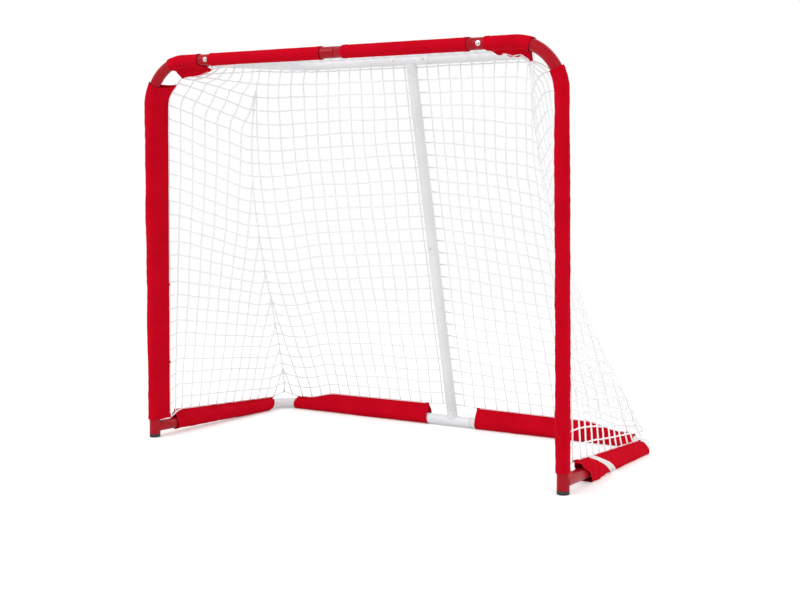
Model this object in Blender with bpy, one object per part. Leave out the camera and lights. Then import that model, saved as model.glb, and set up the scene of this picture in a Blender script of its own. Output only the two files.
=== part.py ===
"""Street hockey goal of push-fit steel tube, with fabric sleeves that carry a square-mesh net.

Metres, +Z up, +Y towards the back of the goal, +X to the right for someone who faces the mouth.
The origin is on the ground under the middle of the goal.
"""

import math

import bmesh
import bpy
from mathutils import Matrix, Vector

# Overall sizes
WIDTH = 1.3716  # outside of the posts, 54 in
HEIGHT = 1.1176  # ground to the top of the crossbar tube, 44 in
DEPTH = 0.595  # axis of the front frame to axis of the rear bar

# Tube
TUBE = 0.03175  # outside diameter, 1 1/4 in
WALL = 0.0012
FIT = 0.0003  # gap between pieces that touch, and round a tube end in its socket
INSERT = 0.045  # length of the necked-down end that slides into a socket
NECK = 0.003  # length of the cone that necks it down, just outside the socket

# Front frame
CORNER_BEND = 0.130  # radius of the rounded top corners, to the tube's axis
CORNER_REACH = 0.430  # middle of the goal to the mouth of each corner tube
PLUG_FLANGE = 0.010  # height of the plastic plug that shows under each post
PLUG_DEPTH = 0.020  # how far the plug reaches into the post
PLUG_WALL = 0.003

# Base
ARM_HEIGHT = 0.031  # axis of the side arm where it is welded to the post
ARM_STUB = 0.140  # post axis to the mouth of the base tube
BASE_HALF = 0.647  # middle of the goal to the corner of the base, at the rear
BASE_BEND = 0.060

# Top shelf
SHELF_DEPTH = 0.370  # crossbar axis to shelf bar axis
SHELF_HALF = 0.390  # middle of the goal to the corner of the shelf
SHELF_ROOT = 0.520  # middle of the goal to where the shelf arm leaves the crossbar
SHELF_STUB = 0.060
SHELF_BEND = 0.080

# Tees and rear post
TEE_HALF = 0.066  # middle of a tee to the mouth of each arm
TEE_BRANCH = 0.036  # axis of a tee's arms to the mouth of its branch
BRANCH_INSERT = 0.030
POST_JOINT_HEIGHT = 0.537  # mouth of the upper rear post, above the ground

# Snap buttons
BUTTON_SETBACK = 0.016  # mouth of a socket to the middle of its button
BRANCH_SETBACK = 0.012
BUTTON_RADIUS = 0.0031
BUTTON_PROUD = 0.0028  # how far the dome stands out of the tube
BUTTON_FLANGE = 0.0042  # radius of the foot that stops the button in the tube
BUTTON_FOOT = 0.0010
SPRING_STRIP = 0.0008
SPRING_WIDTH = 0.008
SPRING_NOSE = 0.007  # how far the spring reaches past the button
SPRING_TAIL = 0.030  # how far its bend lies from the button

# Fabric and net
FABRIC = 0.0012
SEAM = 0.006  # sewn edge of a sleeve, past the pocket that holds the tube
CORD = 0.003
FOLD_SEAT = 0.68  # how far along the shelf arm the net turns its corner
FOLD_INWARDS = 0.028
FOLD_FORWARDS = 0.118
POST_SLEEVE_BOTTOM = 0.060
POST_POCKET = 0.068  # post axis to the sewn edge of its sleeve
POST_POCKET_TURN = 33.0  # degrees from straight back, towards the mouth
BAR_POCKET = 0.045
CORNER_POCKET = 0.042
CORNER_POCKET_DROP = 58.0  # degrees below the horizontal
CORNER_SLEEVE_END = 0.462
CORNER_SLEEVE_STEPS = 2  # steps of the corner bend that each sleeve follows
SLEEVE_LAST = 0.85  # share of the last of those steps
BAR_SLEEVES = {"left": (-0.430, -0.053), "right": (0.001, 0.410)}
BASE_SLEEVES = {"left": (0.110, 0.525), "right": (0.062, 0.530)}
BASE_POCKET = (0.041, 0.024)  # at the front and rear ends of a base sleeve
NET_START = 0.110  # post axis to where the net is first sewn to a base sleeve
REAR_SLEEVE = (0.085, 0.585)  # middle of the goal to the two ends of each rear sleeve
REAR_POCKET = (0.040, 0.034)
STRAP_PLACE = 0.262  # post axis to the middle of the strap, along the right arm
STRAP_WIDTH = 0.013
STRAP_SLANT = 1.7  # how far the strap runs along the arm for each metre that it drops
STRAP_THICK = 0.0009
SNAP_RADIUS = 0.0042
SNAP_HEIGHT = 0.0016

# Net gaps
BACK_GAPS = (10, 9)  # across and up
SIDE_GAPS = (5, 9)
TOP_GAPS = (10, 3)

# Facets
SIDES = 16
BEND_STEPS = 6
BUTTON_SIDES = 10
SLEEVE_STEPS = 13
SNAP_STEPS = 9  # facets of the strap from its point to the snap
FOLD_STEPS = 10

# Worked out
R = TUBE / 2
BORE = R - WALL
SPIGOT = BORE - FIT
SPIGOT_BORE = SPIGOT - WALL
SKIN = R + FIT + FABRIC
FRONT_Y = -DEPTH / 2
REAR_Y = DEPTH / 2
SHELF_Y = FRONT_Y + SHELF_DEPTH
POST_X = WIDTH / 2 - R
BAR_Z = HEIGHT - R
REAR_Z = SKIN
NET_Z = BAR_Z + R + FIT + CORD / 2
NET_OFFSET = R + FIT + 2 * CORD
FACET = math.cos(math.pi / SIDES)
BUTTON_SEAT = math.sqrt(SPIGOT_BORE**2 - BUTTON_FLANGE**2) * FACET - FIT
BAR_POCKET_RISE = math.asin((NET_Z - BAR_Z) / BAR_POCKET)

UP = Vector((0, 0, 1))
BACK = Vector((0, 1, 0))
SIGN = {"left": -1, "right": 1}

RED_STEEL = ("red_powder_coated_steel", (0.50, 0.012, 0.022), 0.32, 0.0)
WHITE_STEEL = ("white_powder_coated_steel", (0.80, 0.81, 0.82), 0.34, 0.0)
BLACK_PLASTIC = ("black_polyethylene", (0.018, 0.014, 0.015), 0.55, 0.0)
BRIGHT_STEEL = ("nickel_plated_steel", (0.62, 0.62, 0.60), 0.28, 1.0)
SPRING_STEEL = ("spring_steel", (0.28, 0.28, 0.29), 0.36, 1.0)
RED_FABRIC = ("red_polyester_sleeve", (0.56, 0.004, 0.016), 0.85, 0.0)
WHITE_CORD = ("white_polyester_net", (0.82, 0.82, 0.82), 0.80, 0.0)
WHITE_WEBBING = ("white_webbing", (0.83, 0.82, 0.80), 0.82, 0.0)


def material(finish):
    """The named Principled material, made the first time that it is asked for."""
    name, colour, roughness, metallic = finish
    found = bpy.data.materials.get(name)
    if found is None:
        found = bpy.data.materials.new(name)
        found.use_nodes = True
        shader = found.node_tree.nodes["Principled BSDF"]
        shader.inputs["Base Color"].default_value = (*colour, 1.0)
        shader.inputs["Roughness"].default_value = roughness
        shader.inputs["Metallic"].default_value = metallic
    return found


def new_object(name, mesh, finish=None):
    """The mesh as an object, with its faces turned outwards. With no finish it is a cutter."""
    mesh.name = name
    faces = bmesh.new()
    faces.from_mesh(mesh)
    bmesh.ops.recalc_face_normals(faces, faces=faces.faces)
    faces.to_mesh(mesh)
    faces.free()
    made = bpy.data.objects.new(name, mesh)
    bpy.context.scene.collection.objects.link(made)
    if finish is None:
        made.hide_render = True
        made.display_type = "WIRE"
    else:
        mesh.materials.append(material(finish))
        mesh.shade_smooth()
        mesh.set_sharp_from_angle(angle=math.radians(32))
    return made


def boolean(made, cutter, operation="DIFFERENCE"):
    """Adds one exact Boolean to an object."""
    cut = made.modifiers.new(cutter.name, "BOOLEAN")
    cut.object = cutter
    cut.operation = operation


def arc(centre, first, second, turn, steps):
    """Points from centre + first, turning towards second, as far as turn."""
    for i in range(steps + 1):
        angle = turn * i / steps
        yield centre + first * math.cos(angle) + second * math.sin(angle)


def rounded(start, corner, end, radius, steps=BEND_STEPS):
    """The path from start to end with its corner rounded to a radius."""
    to_start = (start - corner).normalized()
    to_end = (end - corner).normalized()
    half = to_start.angle(to_end) / 2
    tangent = radius / math.tan(half)
    centre = corner + (to_start + to_end).normalized() * (radius / math.sin(half))
    first = corner + to_start * tangent - centre
    second = to_start * -radius
    return [start, *arc(centre, first, second, math.pi - 2 * half, steps), end]


def ring_axes(path, normal, i):
    """The two axes of the ring at a path's point i: across the path's plane, and in it."""
    before = path[i] - path[max(i - 1, 0)]
    after = path[min(i + 1, len(path) - 1)] - path[i]
    along = (before.normalized() + after.normalized()).normalized()
    return along.cross(normal).normalized(), normal


def lofted(loops, closed_ends=True):
    """A mesh through loops of points that all have the same count."""
    shape = bmesh.new()
    rings = [[shape.verts.new(p) for p in loop] for loop in loops]
    count = len(rings[0])
    for one, two in zip(rings, rings[1:]):
        for k in range(count):
            shape.faces.new((one[k], one[(k + 1) % count], two[(k + 1) % count], two[k]))
    if closed_ends:
        shape.faces.new(rings[0][::-1])
        shape.faces.new(rings[-1])
    else:
        for k in range(count):
            after = (k + 1) % count
            shape.faces.new((rings[-1][k], rings[-1][after], rings[0][after], rings[0][k]))
    mesh = bpy.data.meshes.new("loft")
    shape.to_mesh(mesh)
    shape.free()
    return mesh


def ring(centre, axes, radius, sides=SIDES):
    """One loop of points round a centre."""
    across, up = axes
    turns = [2 * math.pi * k / sides for k in range(sides)]
    return [centre + (across * math.cos(t) + up * math.sin(t)) * radius for t in turns]


def stations(path, neck_start=False, neck_end=False, insert=INSERT):
    """The path as (point, radius) pairs, with a necked-down end where one is asked for."""
    found = [(p, R) for p in path]
    if neck_end:
        out = (path[-1] - path[-2]).normalized()
        found[-1:] = [(path[-1] - out * NECK, R), (path[-1], SPIGOT), (path[-1] + out * insert, SPIGOT)]
    if neck_start:
        out = (path[0] - path[1]).normalized()
        found[:1] = [(path[0] + out * insert, SPIGOT), (path[0], SPIGOT), (path[0] - out * NECK, R)]
    return found


def rings_along(pairs, normal, inset=0.0, overrun=0.0):
    """A loop of points at each station, drawn in by inset, with the two ends run out by overrun."""
    path = [p for p, _ in pairs]
    loops = []
    for i, (point, radius) in enumerate(pairs):
        centre = point.copy()
        if i == 0:
            centre += (path[0] - path[1]).normalized() * overrun
        if i == len(pairs) - 1:
            centre += (path[-1] - path[-2]).normalized() * overrun
        loops.append(ring(centre, ring_axes(path, normal, i), radius - inset))
    return loops


def rod(pairs, normal, inset=0.0, overrun=0.0):
    """The solid bar along the stations."""
    return lofted(rings_along(pairs, normal, inset, overrun))


def pipe(pairs, normal):
    """The open-ended tube along the stations, one wall thick."""
    outer = rings_along(pairs, normal)
    inner = rings_along(pairs, normal, WALL)
    return lofted(outer + inner[::-1], closed_ends=False)


class SnapJoint:
    """A tube end in its socket, held by a sprung button that stands in a hole through both."""

    def __init__(self, name, mouth, into, facing, socket, spigot, setback=BUTTON_SETBACK):
        self.name = name
        self.into = into.normalized()
        facing = facing - self.into * facing.dot(self.into)
        self.facing = facing.normalized()
        self.centre = mouth + self.into * setback
        self.socket = socket
        self.spigot = spigot

    def loop(self, radius, height):
        across = self.into.cross(self.facing)
        return ring(self.centre + self.facing * height, (across, self.into), radius, BUTTON_SIDES)

    def cut_hole(self, socket, spigot):
        hole = lofted([self.loop(BUTTON_RADIUS + FIT, h) for h in (SPIGOT_BORE - WALL, R + WALL)])
        cutter = new_object("hole_" + self.name, hole)
        boolean(socket, cutter)
        boolean(spigot, cutter)

    def add_button(self):
        top = R + BUTTON_PROUD
        profile = [
            (BUTTON_FLANGE, BUTTON_SEAT - BUTTON_FOOT),
            (BUTTON_FLANGE, BUTTON_SEAT),
            (BUTTON_RADIUS, BUTTON_SEAT),
            (BUTTON_RADIUS, top - BUTTON_RADIUS * 0.62),
            (BUTTON_RADIUS * 0.80, top - BUTTON_RADIUS * 0.22),
            (BUTTON_RADIUS * 0.38, top),
        ]
        made = new_object("button_" + self.name, lofted([self.loop(r, h) for r, h in profile]), BRIGHT_STEEL)
        made.data.transform(Matrix.Translation(-self.centre))
        made.location = self.centre

    def add_spring(self):
        """A strip bent to a V: one leg under the button, the other along the far wall."""
        half = SPRING_STRIP / 2
        upper = BUTTON_SEAT - BUTTON_FOOT - FIT - half
        lower = half + FIT - math.sqrt(SPIGOT_BORE**2 - (SPRING_WIDTH / 2) ** 2) * FACET
        knee = SPRING_TAIL * 0.86
        line = [
            (SPRING_NOSE, upper),
            (-SPRING_NOSE, upper),
            (-knee, SPRING_TAIL - knee),
            (-SPRING_TAIL, 0.0),
            (-knee, knee - SPRING_TAIL),
            (-SPRING_NOSE * 2, lower),
            (SPRING_NOSE, lower),
        ]
        points = [Vector(p) for p in line]
        sides = []
        for i, point in enumerate(points):
            before = (point - points[i - 1]).normalized() if i else (points[1] - point).normalized()
            after = (points[i + 1] - point).normalized() if i < len(points) - 1 else before
            along = (before + after).normalized()
            reach = half / max(along.dot(before), 0.5)
            across = Vector((-along.y, along.x)) * reach
            sides.append((point + across, point - across))
        outline = [a for a, _ in sides] + [b for _, b in reversed(sides)]
        width = self.into.cross(self.facing) * (SPRING_WIDTH / 2)
        flat = [self.centre + self.into * s + self.facing * r for s, r in outline]
        mesh = lofted([[p - width for p in flat], [p + width for p in flat]])
        new_object("spring_" + self.name, mesh, SPRING_STEEL)


def front_path(side, end_x):
    """Axis of a corner tube: up the post, round the bend and along the crossbar."""
    x = SIGN[side] * POST_X
    foot = Vector((x, FRONT_Y, PLUG_FLANGE + FIT))
    corner = Vector((x, FRONT_Y, BAR_Z))
    return rounded(foot, corner, Vector((SIGN[side] * end_x, FRONT_Y, BAR_Z)), CORNER_BEND)


def arm_axis(side):
    """Where the side arm leaves the post, the base corner, and the arm's plane."""
    start = Vector((SIGN[side] * POST_X, FRONT_Y, ARM_HEIGHT))
    corner = Vector((SIGN[side] * BASE_HALF, REAR_Y, REAR_Z))
    along = (corner - start).normalized()
    normal = Vector((1, 0, 0)).cross(along).normalized()
    return start, corner, along, normal


def shelf_axis(side):
    """Where the shelf arm leaves the crossbar, the shelf corner, and the arm's direction."""
    start = Vector((SIGN[side] * SHELF_ROOT, FRONT_Y, BAR_Z))
    corner = Vector((SIGN[side] * SHELF_HALF, SHELF_Y, BAR_Z))
    return start, corner, (corner - start).normalized()


def rear_post_axis():
    """The middles of the two tees and the direction down the rear post."""
    top = Vector((0, SHELF_Y, BAR_Z))
    bottom = Vector((0, REAR_Y, REAR_Z))
    return top, bottom, (bottom - top).normalized()


def stub(root, along, mouth_distance, normal):
    """A tube welded to another at its axis, with a necked end past its mouth."""
    path = [root + along * WALL, root + along * mouth_distance]
    return pipe(stations(path, neck_end=True), normal)


def corner_tube(side):
    """Post, rounded corner and crossbar end in one tube, with the two welded stubs."""
    pairs = stations(front_path(side, CORNER_REACH))
    made = new_object(side + "_corner_tube", rod(pairs, BACK), RED_STEEL)
    root, _, along, normal = arm_axis(side)
    boolean(made, new_object(side + "_arm_stub", stub(root, along, ARM_STUB, normal)), "UNION")
    root, _, along = shelf_axis(side)
    boolean(made, new_object(side + "_shelf_stub", stub(root, along, SHELF_STUB, UP)), "UNION")
    boolean(made, new_object(side + "_corner_bore", rod(pairs, BACK, WALL, FIT)))
    return made


def foot_plug(side):
    """The moulded plug under a post: a flange, a hollow spigot and two gripping ribs."""
    rib = BORE - FIT
    body = rib - 2 * FIT
    top = PLUG_FLANGE + PLUG_DEPTH
    profile = [(R - FIT * 3, 0.0), (R, FIT * 3), (R, PLUG_FLANGE), (rib, PLUG_FLANGE)]
    for share in (0.30, 0.65):
        middle = PLUG_FLANGE + PLUG_DEPTH * share
        profile += [(body, middle - WALL), (rib, middle), (body, middle + WALL)]
    profile += [(body, top), (body - PLUG_WALL, top), (body - PLUG_WALL, PLUG_WALL)]
    centre = Vector((SIGN[side] * POST_X, FRONT_Y, 0))
    axes = (Vector((SIGN[side], 0, 0)), BACK)
    loops = [ring(centre + UP * h, axes, r) for r, h in profile]
    return new_object(side + "_foot_plug", lofted(loops), BLACK_PLASTIC)


def crossbar_tube(side):
    """Half of the crossbar. The left one's inner end is the socket for the right one."""
    x = SIGN[side]
    path = [Vector((x * CORNER_REACH, FRONT_Y, BAR_Z)), Vector((0, FRONT_Y, BAR_Z))]
    gap = Vector((x * FIT, 0, 0))
    path = [path[0] - gap, path[1] + gap]
    pairs = stations(path, neck_start=True, neck_end=side == "right")
    return new_object(side + "_crossbar_tube", pipe(pairs, BACK), RED_STEEL)


def base_tube(side):
    """Side of the base and half of the rear bar, bent at the corner."""
    start, corner, along, normal = arm_axis(side)
    mouth = start + along * (ARM_STUB + FIT)
    end = Vector((SIGN[side] * (TEE_HALF + FIT), REAR_Y, REAR_Z))
    pairs = stations(rounded(mouth, corner, end, BASE_BEND), neck_end=True)
    return new_object(side + "_base_tube", pipe(pairs, normal), WHITE_STEEL)


def shelf_tube(side):
    """One arm of the shelf and half of its rear bar."""
    start, corner, along = shelf_axis(side)
    mouth = start + along * (SHELF_STUB + FIT)
    end = Vector((SIGN[side] * (TEE_HALF + FIT), SHELF_Y, BAR_Z))
    pairs = stations(rounded(mouth, corner, end, SHELF_BEND), neck_end=True)
    return new_object(side + "_shelf_tube", pipe(pairs, UP), WHITE_STEEL)


def tee(name, middle, branch):
    """A welded tee: two arms along the bar and one branch for the rear post."""
    reach = Vector((TEE_HALF, 0, 0))
    arms = [(middle - reach, R), (middle + reach, R)]
    made = new_object(name, rod(arms, BACK), WHITE_STEEL)
    across = branch.cross(Vector((1, 0, 0))).normalized()
    leg = [(middle + branch * WALL, R), (middle + branch * TEE_BRANCH, R)]
    boolean(made, new_object(name + "_branch", rod(leg, across)), "UNION")
    boolean(made, new_object(name + "_arm_bore", rod(arms, BACK, WALL, FIT)))
    boolean(made, new_object(name + "_branch_bore", rod(leg, across, WALL, FIT)))
    return made


def rear_posts():
    """The two halves of the rear post: the upper one's lower end is the socket."""
    top, bottom, down = rear_post_axis()
    across = down.cross(Vector((1, 0, 0))).normalized()
    split = top + down * ((BAR_Z - POST_JOINT_HEIGHT) / -down.z)
    head = top + down * (TEE_BRANCH + FIT)
    foot = bottom - down * (TEE_BRANCH + FIT)
    upper = stations([head, split], neck_start=True, insert=BRANCH_INSERT)
    line = [split + down * FIT, foot]
    lower = stations(line, neck_start=True)[:-1] + stations(line, neck_end=True, insert=BRANCH_INSERT)[1:]
    return (
        split,
        new_object("upper_rear_post", pipe(upper, across), WHITE_STEEL),
        new_object("lower_rear_post", pipe(lower, across), WHITE_STEEL),
    )


def drop_shape(centre, axes, turn, lean, radius, reach, blunt):
    """A loop like a drop: round the tube as far as lean on each side, then straight to a blunt point."""
    across, up = axes
    point = across * math.cos(turn) + up * math.sin(turn)
    beside = across * -math.sin(turn) + up * math.cos(turn)
    step = (2 * math.pi - 2 * lean) / SLEEVE_STEPS
    corner = radius / math.cos(step / 2)
    turns = [lean + step * k for k in range(SLEEVE_STEPS + 1)]
    loop = [centre + (point * math.cos(t) + beside * math.sin(t)) * corner for t in turns]
    return loop + [centre + point * reach - beside * blunt, centre + point * reach + beside * blunt]


class Sleeve:
    """A fabric pocket round a tube, drop-shaped, with its two edges sewn together at the point."""

    def __init__(self, path, normal, out, reaches):
        """out is the way that the point lies, seen at the first end of the path."""
        self.path = path
        self.normal = normal
        across, up = ring_axes(path, normal, 0)
        self.turn = math.atan2(out.dot(up), out.dot(across))
        lengths = [0.0]
        for one, two in zip(path, path[1:]):
            lengths.append(lengths[-1] + (two - one).length)
        first, last = reaches
        self.reaches = [first + (last - first) * s / lengths[-1] for s in lengths]
        self.lean = math.acos((R + FIT) / (min(reaches) - SEAM))

    def loop(self, i, inside=False):
        axes = ring_axes(self.path, self.normal, i)
        if inside:
            return drop_shape(self.path[i], axes, self.turn, self.lean, R + FIT, self.reaches[i] - SEAM, FIT)
        return drop_shape(self.path[i], axes, self.turn, self.lean, SKIN, self.reaches[i], FABRIC)

    def solid(self, name):
        count = range(len(self.path))
        loops = [self.loop(i) for i in count] + [self.loop(i, inside=True) for i in reversed(count)]
        return new_object(name, lofted(loops, closed_ends=False), RED_FABRIC)

    def edge(self, clearance):
        """The line of the sewn edge, moved out by a clearance."""
        found = []
        for i, point in enumerate(self.path):
            across, up = ring_axes(self.path, self.normal, i)
            out = across * math.cos(self.turn) + up * math.sin(self.turn)
            found.append(point + out * (self.reaches[i] + clearance))
        return found


def post_sleeve(side):
    path = front_path(side, CORNER_REACH)[: 2 + CORNER_SLEEVE_STEPS]
    path[0] = Vector((path[0].x, FRONT_Y, POST_SLEEVE_BOTTOM))
    path[-1] = path[-2].lerp(path[-1], SLEEVE_LAST)
    lean = math.radians(POST_POCKET_TURN)
    out = Vector((-SIGN[side] * math.sin(lean), math.cos(lean), 0))
    return Sleeve(path, BACK, out, (POST_POCKET, POST_POCKET))


def corner_sleeve(side):
    path = front_path(side, CORNER_SLEEVE_END)[-2 - CORNER_SLEEVE_STEPS :]
    path[0] = path[1].lerp(path[0], SLEEVE_LAST)
    lean = math.radians(CORNER_POCKET_DROP)
    out = Vector((0, math.cos(lean), -math.sin(lean)))
    return Sleeve(path[::-1], BACK, out, (CORNER_POCKET, CORNER_POCKET))


def bar_sleeve(side):
    path = [Vector((x, FRONT_Y, BAR_Z)) for x in BAR_SLEEVES[side]]
    out = Vector((0, math.cos(BAR_POCKET_RISE), math.sin(BAR_POCKET_RISE)))
    return Sleeve(path, BACK, out, (BAR_POCKET, BAR_POCKET))


def base_sleeve(side):
    start, _, along, normal = arm_axis(side)
    return Sleeve([start + along * s for s in BASE_SLEEVES[side]], normal, normal, BASE_POCKET)


def rear_sleeve(side):
    path = [Vector((SIGN[side] * x, REAR_Y, REAR_Z)) for x in REAR_SLEEVE]
    return Sleeve(path, UP, UP, REAR_POCKET)


def strap():
    """A strap round the right base sleeve and the lowest cord of the net, and the snap that closes it."""
    start, _, along, normal = arm_axis("right")
    sleeve = base_sleeve("right")
    first, last = BASE_SLEEVES["right"]
    half = STRAP_WIDTH / 2 * math.hypot(1, STRAP_SLANT)
    share = (STRAP_PLACE - BASE_POCKET[0] * STRAP_SLANT - half - first) / (last - first)
    reach = BASE_POCKET[0] + (BASE_POCKET[1] - BASE_POCKET[0]) * share + CORD * 1.5
    centre = start + along * STRAP_PLACE
    axes = ring_axes(sleeve.path, normal, 0)

    def loop(offset, shift):
        shape = drop_shape(
            centre, axes, sleeve.turn, sleeve.lean, SKIN + offset, reach + offset, CORD + offset
        )
        return [p + along * (shift - (p - centre).dot(normal) * STRAP_SLANT) for p in shape]

    inner, outer = 2 * FIT, 2 * FIT + STRAP_THICK
    loops = [loop(outer, -half), loop(outer, half), loop(inner, half), loop(inner, -half)]
    new_object("base_strap", lofted(loops, closed_ends=False), WHITE_WEBBING)

    facets = loop(outer, 0)
    low, high = facets[SNAP_STEPS], facets[SNAP_STEPS + 1]
    middle = (low + high) / 2
    out = along.cross(high - low).normalized()
    if out.dot(middle - centre) < 0:
        out = -out
    stack = [(SNAP_RADIUS, FIT), (SNAP_RADIUS, FIT + SNAP_HEIGHT * 0.6), (SNAP_RADIUS * 0.7, FIT + SNAP_HEIGHT)]
    rings = [ring(middle + out * h, (along, out.cross(along)), r, BUTTON_SIDES) for r, h in stack]
    new_object("strap_snap", lofted(rings), BRIGHT_STEEL)


def length_of(line):
    return sum((two - one).length for one, two in zip(line, line[1:]))


def along_line(line, share):
    """The point a share of the way along a line of points, by length."""
    left = share * length_of(line)
    for i, (one, two) in enumerate(zip(line, line[1:])):
        length = (two - one).length
        if left <= length or i == len(line) - 2:
            return one.lerp(two, left / length)
        left -= length


def patch(bottom, top, first, last):
    """A surface between four lines. bottom and top run from first to last, which run upwards."""

    def surface(u, v):
        flat = bottom[0].lerp(bottom[-1], u).lerp(top[0].lerp(top[-1], u), v)
        across = along_line(bottom, u).lerp(along_line(top, u), v)
        upwards = along_line(first, v).lerp(along_line(last, v), u)
        return across + upwards - flat

    return surface


def joined(one, two):
    """Two surfaces side by side, as one."""

    def surface(u, v):
        return one(2 * u, v) if u < 0.5 else two(2 * u - 1, v)

    return surface


def bars(count, length):
    """The two edges of each of count + 1 cords, as shares of a length."""
    half = CORD / length / 2
    middles = [half + (1 - 2 * half) * i / count for i in range(count + 1)]
    return [m + side for m in middles for side in (-half, half)]


def net_panel(name, surface, gaps):
    """Netting on a surface: square cords with open gaps between them."""
    samples = [i / 24 for i in range(25)]
    us = bars(gaps[0], length_of([surface(s, 0.5) for s in samples]))
    vs = bars(gaps[1], length_of([surface(0.5, s) for s in samples]))
    step = 1e-3
    shape = bmesh.new()
    sheets = {-1: [], 1: []}
    for u in us:
        for face in sheets:
            sheets[face].append([])
        for v in vs:
            du = surface(min(u + step, 1), v) - surface(max(u - step, 0), v)
            dv = surface(u, min(v + step, 1)) - surface(u, max(v - step, 0))
            out = du.cross(dv).normalized() * (CORD / 2)
            for face, columns in sheets.items():
                columns[-1].append(shape.verts.new(surface(u, v) + out * face))

    def is_cord(i, j):
        inside = 0 <= i < len(us) - 1 and 0 <= j < len(vs) - 1
        return inside and (i % 2 == 0 or j % 2 == 0)

    for i in range(len(us) - 1):
        for j in range(len(vs) - 1):
            if not is_cord(i, j):
                continue
            corners = [(i, j), (i + 1, j), (i + 1, j + 1), (i, j + 1)]
            front, back = ([sheets[face][a][b] for a, b in corners] for face in (1, -1))
            shape.faces.new(front)
            shape.faces.new(back[::-1])
            beside = [(i, j - 1), (i + 1, j), (i, j + 1), (i - 1, j)]
            for k, neighbour in enumerate(beside):
                if not is_cord(*neighbour):
                    after = (k + 1) % 4
                    shape.faces.new((back[k], back[after], front[after], front[k]))
    mesh = bpy.data.meshes.new(name)
    shape.to_mesh(mesh)
    shape.free()
    return new_object(name, mesh, WHITE_CORD)


def shelf_line(side, offset):
    """The shelf's outline at the height of the net, from where the fold starts to the middle."""
    start, corner, along = shelf_axis(side)
    end = Vector((0, SHELF_Y, BAR_Z))
    path = rounded(start.lerp(corner, FOLD_SEAT), corner, end, SHELF_BEND)
    found = []
    for i in range(len(path)):
        across = ring_axes(path, UP, i)[0]
        outwards = across if across.dot(path[i] - Vector((0, FRONT_Y, BAR_Z))) > 0 else -across
        found.append(path[i] + outwards * offset + UP * (NET_Z - BAR_Z))
    return found


def fold_line(side):
    """Where the net turns from the side to the back, from the ground up. It is drawn inwards."""
    x = SIGN[side]
    low = Vector((x * (BASE_HALF - BASE_BEND / 4), REAR_Y - BASE_BEND * 0.4, REAR_Z + REAR_POCKET[1]))
    high = shelf_line(side, NET_OFFSET)[0]
    found = []
    for i in range(FOLD_STEPS + 1):
        share = i / FOLD_STEPS
        inwards = FOLD_INWARDS * math.sin(math.pi * share**0.75)
        forwards = FOLD_FORWARDS * math.sin(math.pi * share**1.4) ** 0.8 if 0 < share < 1 else 0
        found.append(low.lerp(high, share) - Vector((x * inwards, forwards, 0)))
    return found


def post_back():
    """The line down the back of the rear post that the net hangs over, from the ground up."""
    top, bottom, down = rear_post_axis()
    out = BACK * (NET_OFFSET / -down.z)
    height = REAR_Z + REAR_POCKET[0] + 2 * FIT
    low = bottom - down * ((height - bottom.z) / -down.z)
    return [low + out, top + BACK * NET_OFFSET + UP * (NET_Z - BAR_Z)]


def build_frame():
    made = {}
    for side in SIGN:
        made[side + "_corner"] = corner_tube(side)
        made[side + "_bar"] = crossbar_tube(side)
        made[side + "_base"] = base_tube(side)
        made[side + "_shelf"] = shelf_tube(side)
        foot_plug(side)
    top, bottom, down = rear_post_axis()
    made["shelf_tee"] = tee("shelf_tee", top, down)
    made["base_tee"] = tee("base_tee", bottom, -down)
    split, made["upper"], made["lower"] = rear_posts()

    joints = [SnapJoint("crossbar_centre", Vector((0, FRONT_Y, BAR_Z)), Vector((-1, 0, 0)), -UP,
                        "left_bar", "right_bar")]
    for side, x in SIGN.items():
        out = Vector((x, 0, 0))
        bar_mouth = Vector((x * CORNER_REACH, FRONT_Y, BAR_Z))
        joints.append(SnapJoint("crossbar_" + side, bar_mouth, out, -BACK, side + "_corner", side + "_bar"))
        root, _, along, normal = arm_axis(side)
        joints.append(SnapJoint("base_arm_" + side, root + along * ARM_STUB, along, normal,
                                side + "_base", side + "_corner"))
        root, _, along = shelf_axis(side)
        joints.append(SnapJoint("shelf_arm_" + side, root + along * SHELF_STUB, along, -UP,
                                side + "_shelf", side + "_corner"))
        joints.append(SnapJoint("shelf_bar_" + side, top + out * TEE_HALF, -out, -BACK,
                                "shelf_tee", side + "_shelf"))
        joints.append(SnapJoint("rear_bar_" + side, bottom + out * TEE_HALF, -out, BACK,
                                "base_tee", side + "_base"))
    joints.append(SnapJoint("rear_post_top", top + down * TEE_BRANCH, -down, Vector((1, 0, 0)),
                            "shelf_tee", "upper", BRANCH_SETBACK))
    joints.append(SnapJoint("rear_post_middle", split, -down, -BACK, "upper", "lower"))
    joints.append(SnapJoint("rear_post_foot", bottom - down * TEE_BRANCH, down, Vector((1, 0, 0)),
                            "base_tee", "lower", BRANCH_SETBACK))
    for joint in joints:
        joint.cut_hole(made[joint.socket], made[joint.spigot])
        joint.add_button()
        joint.add_spring()


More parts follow.
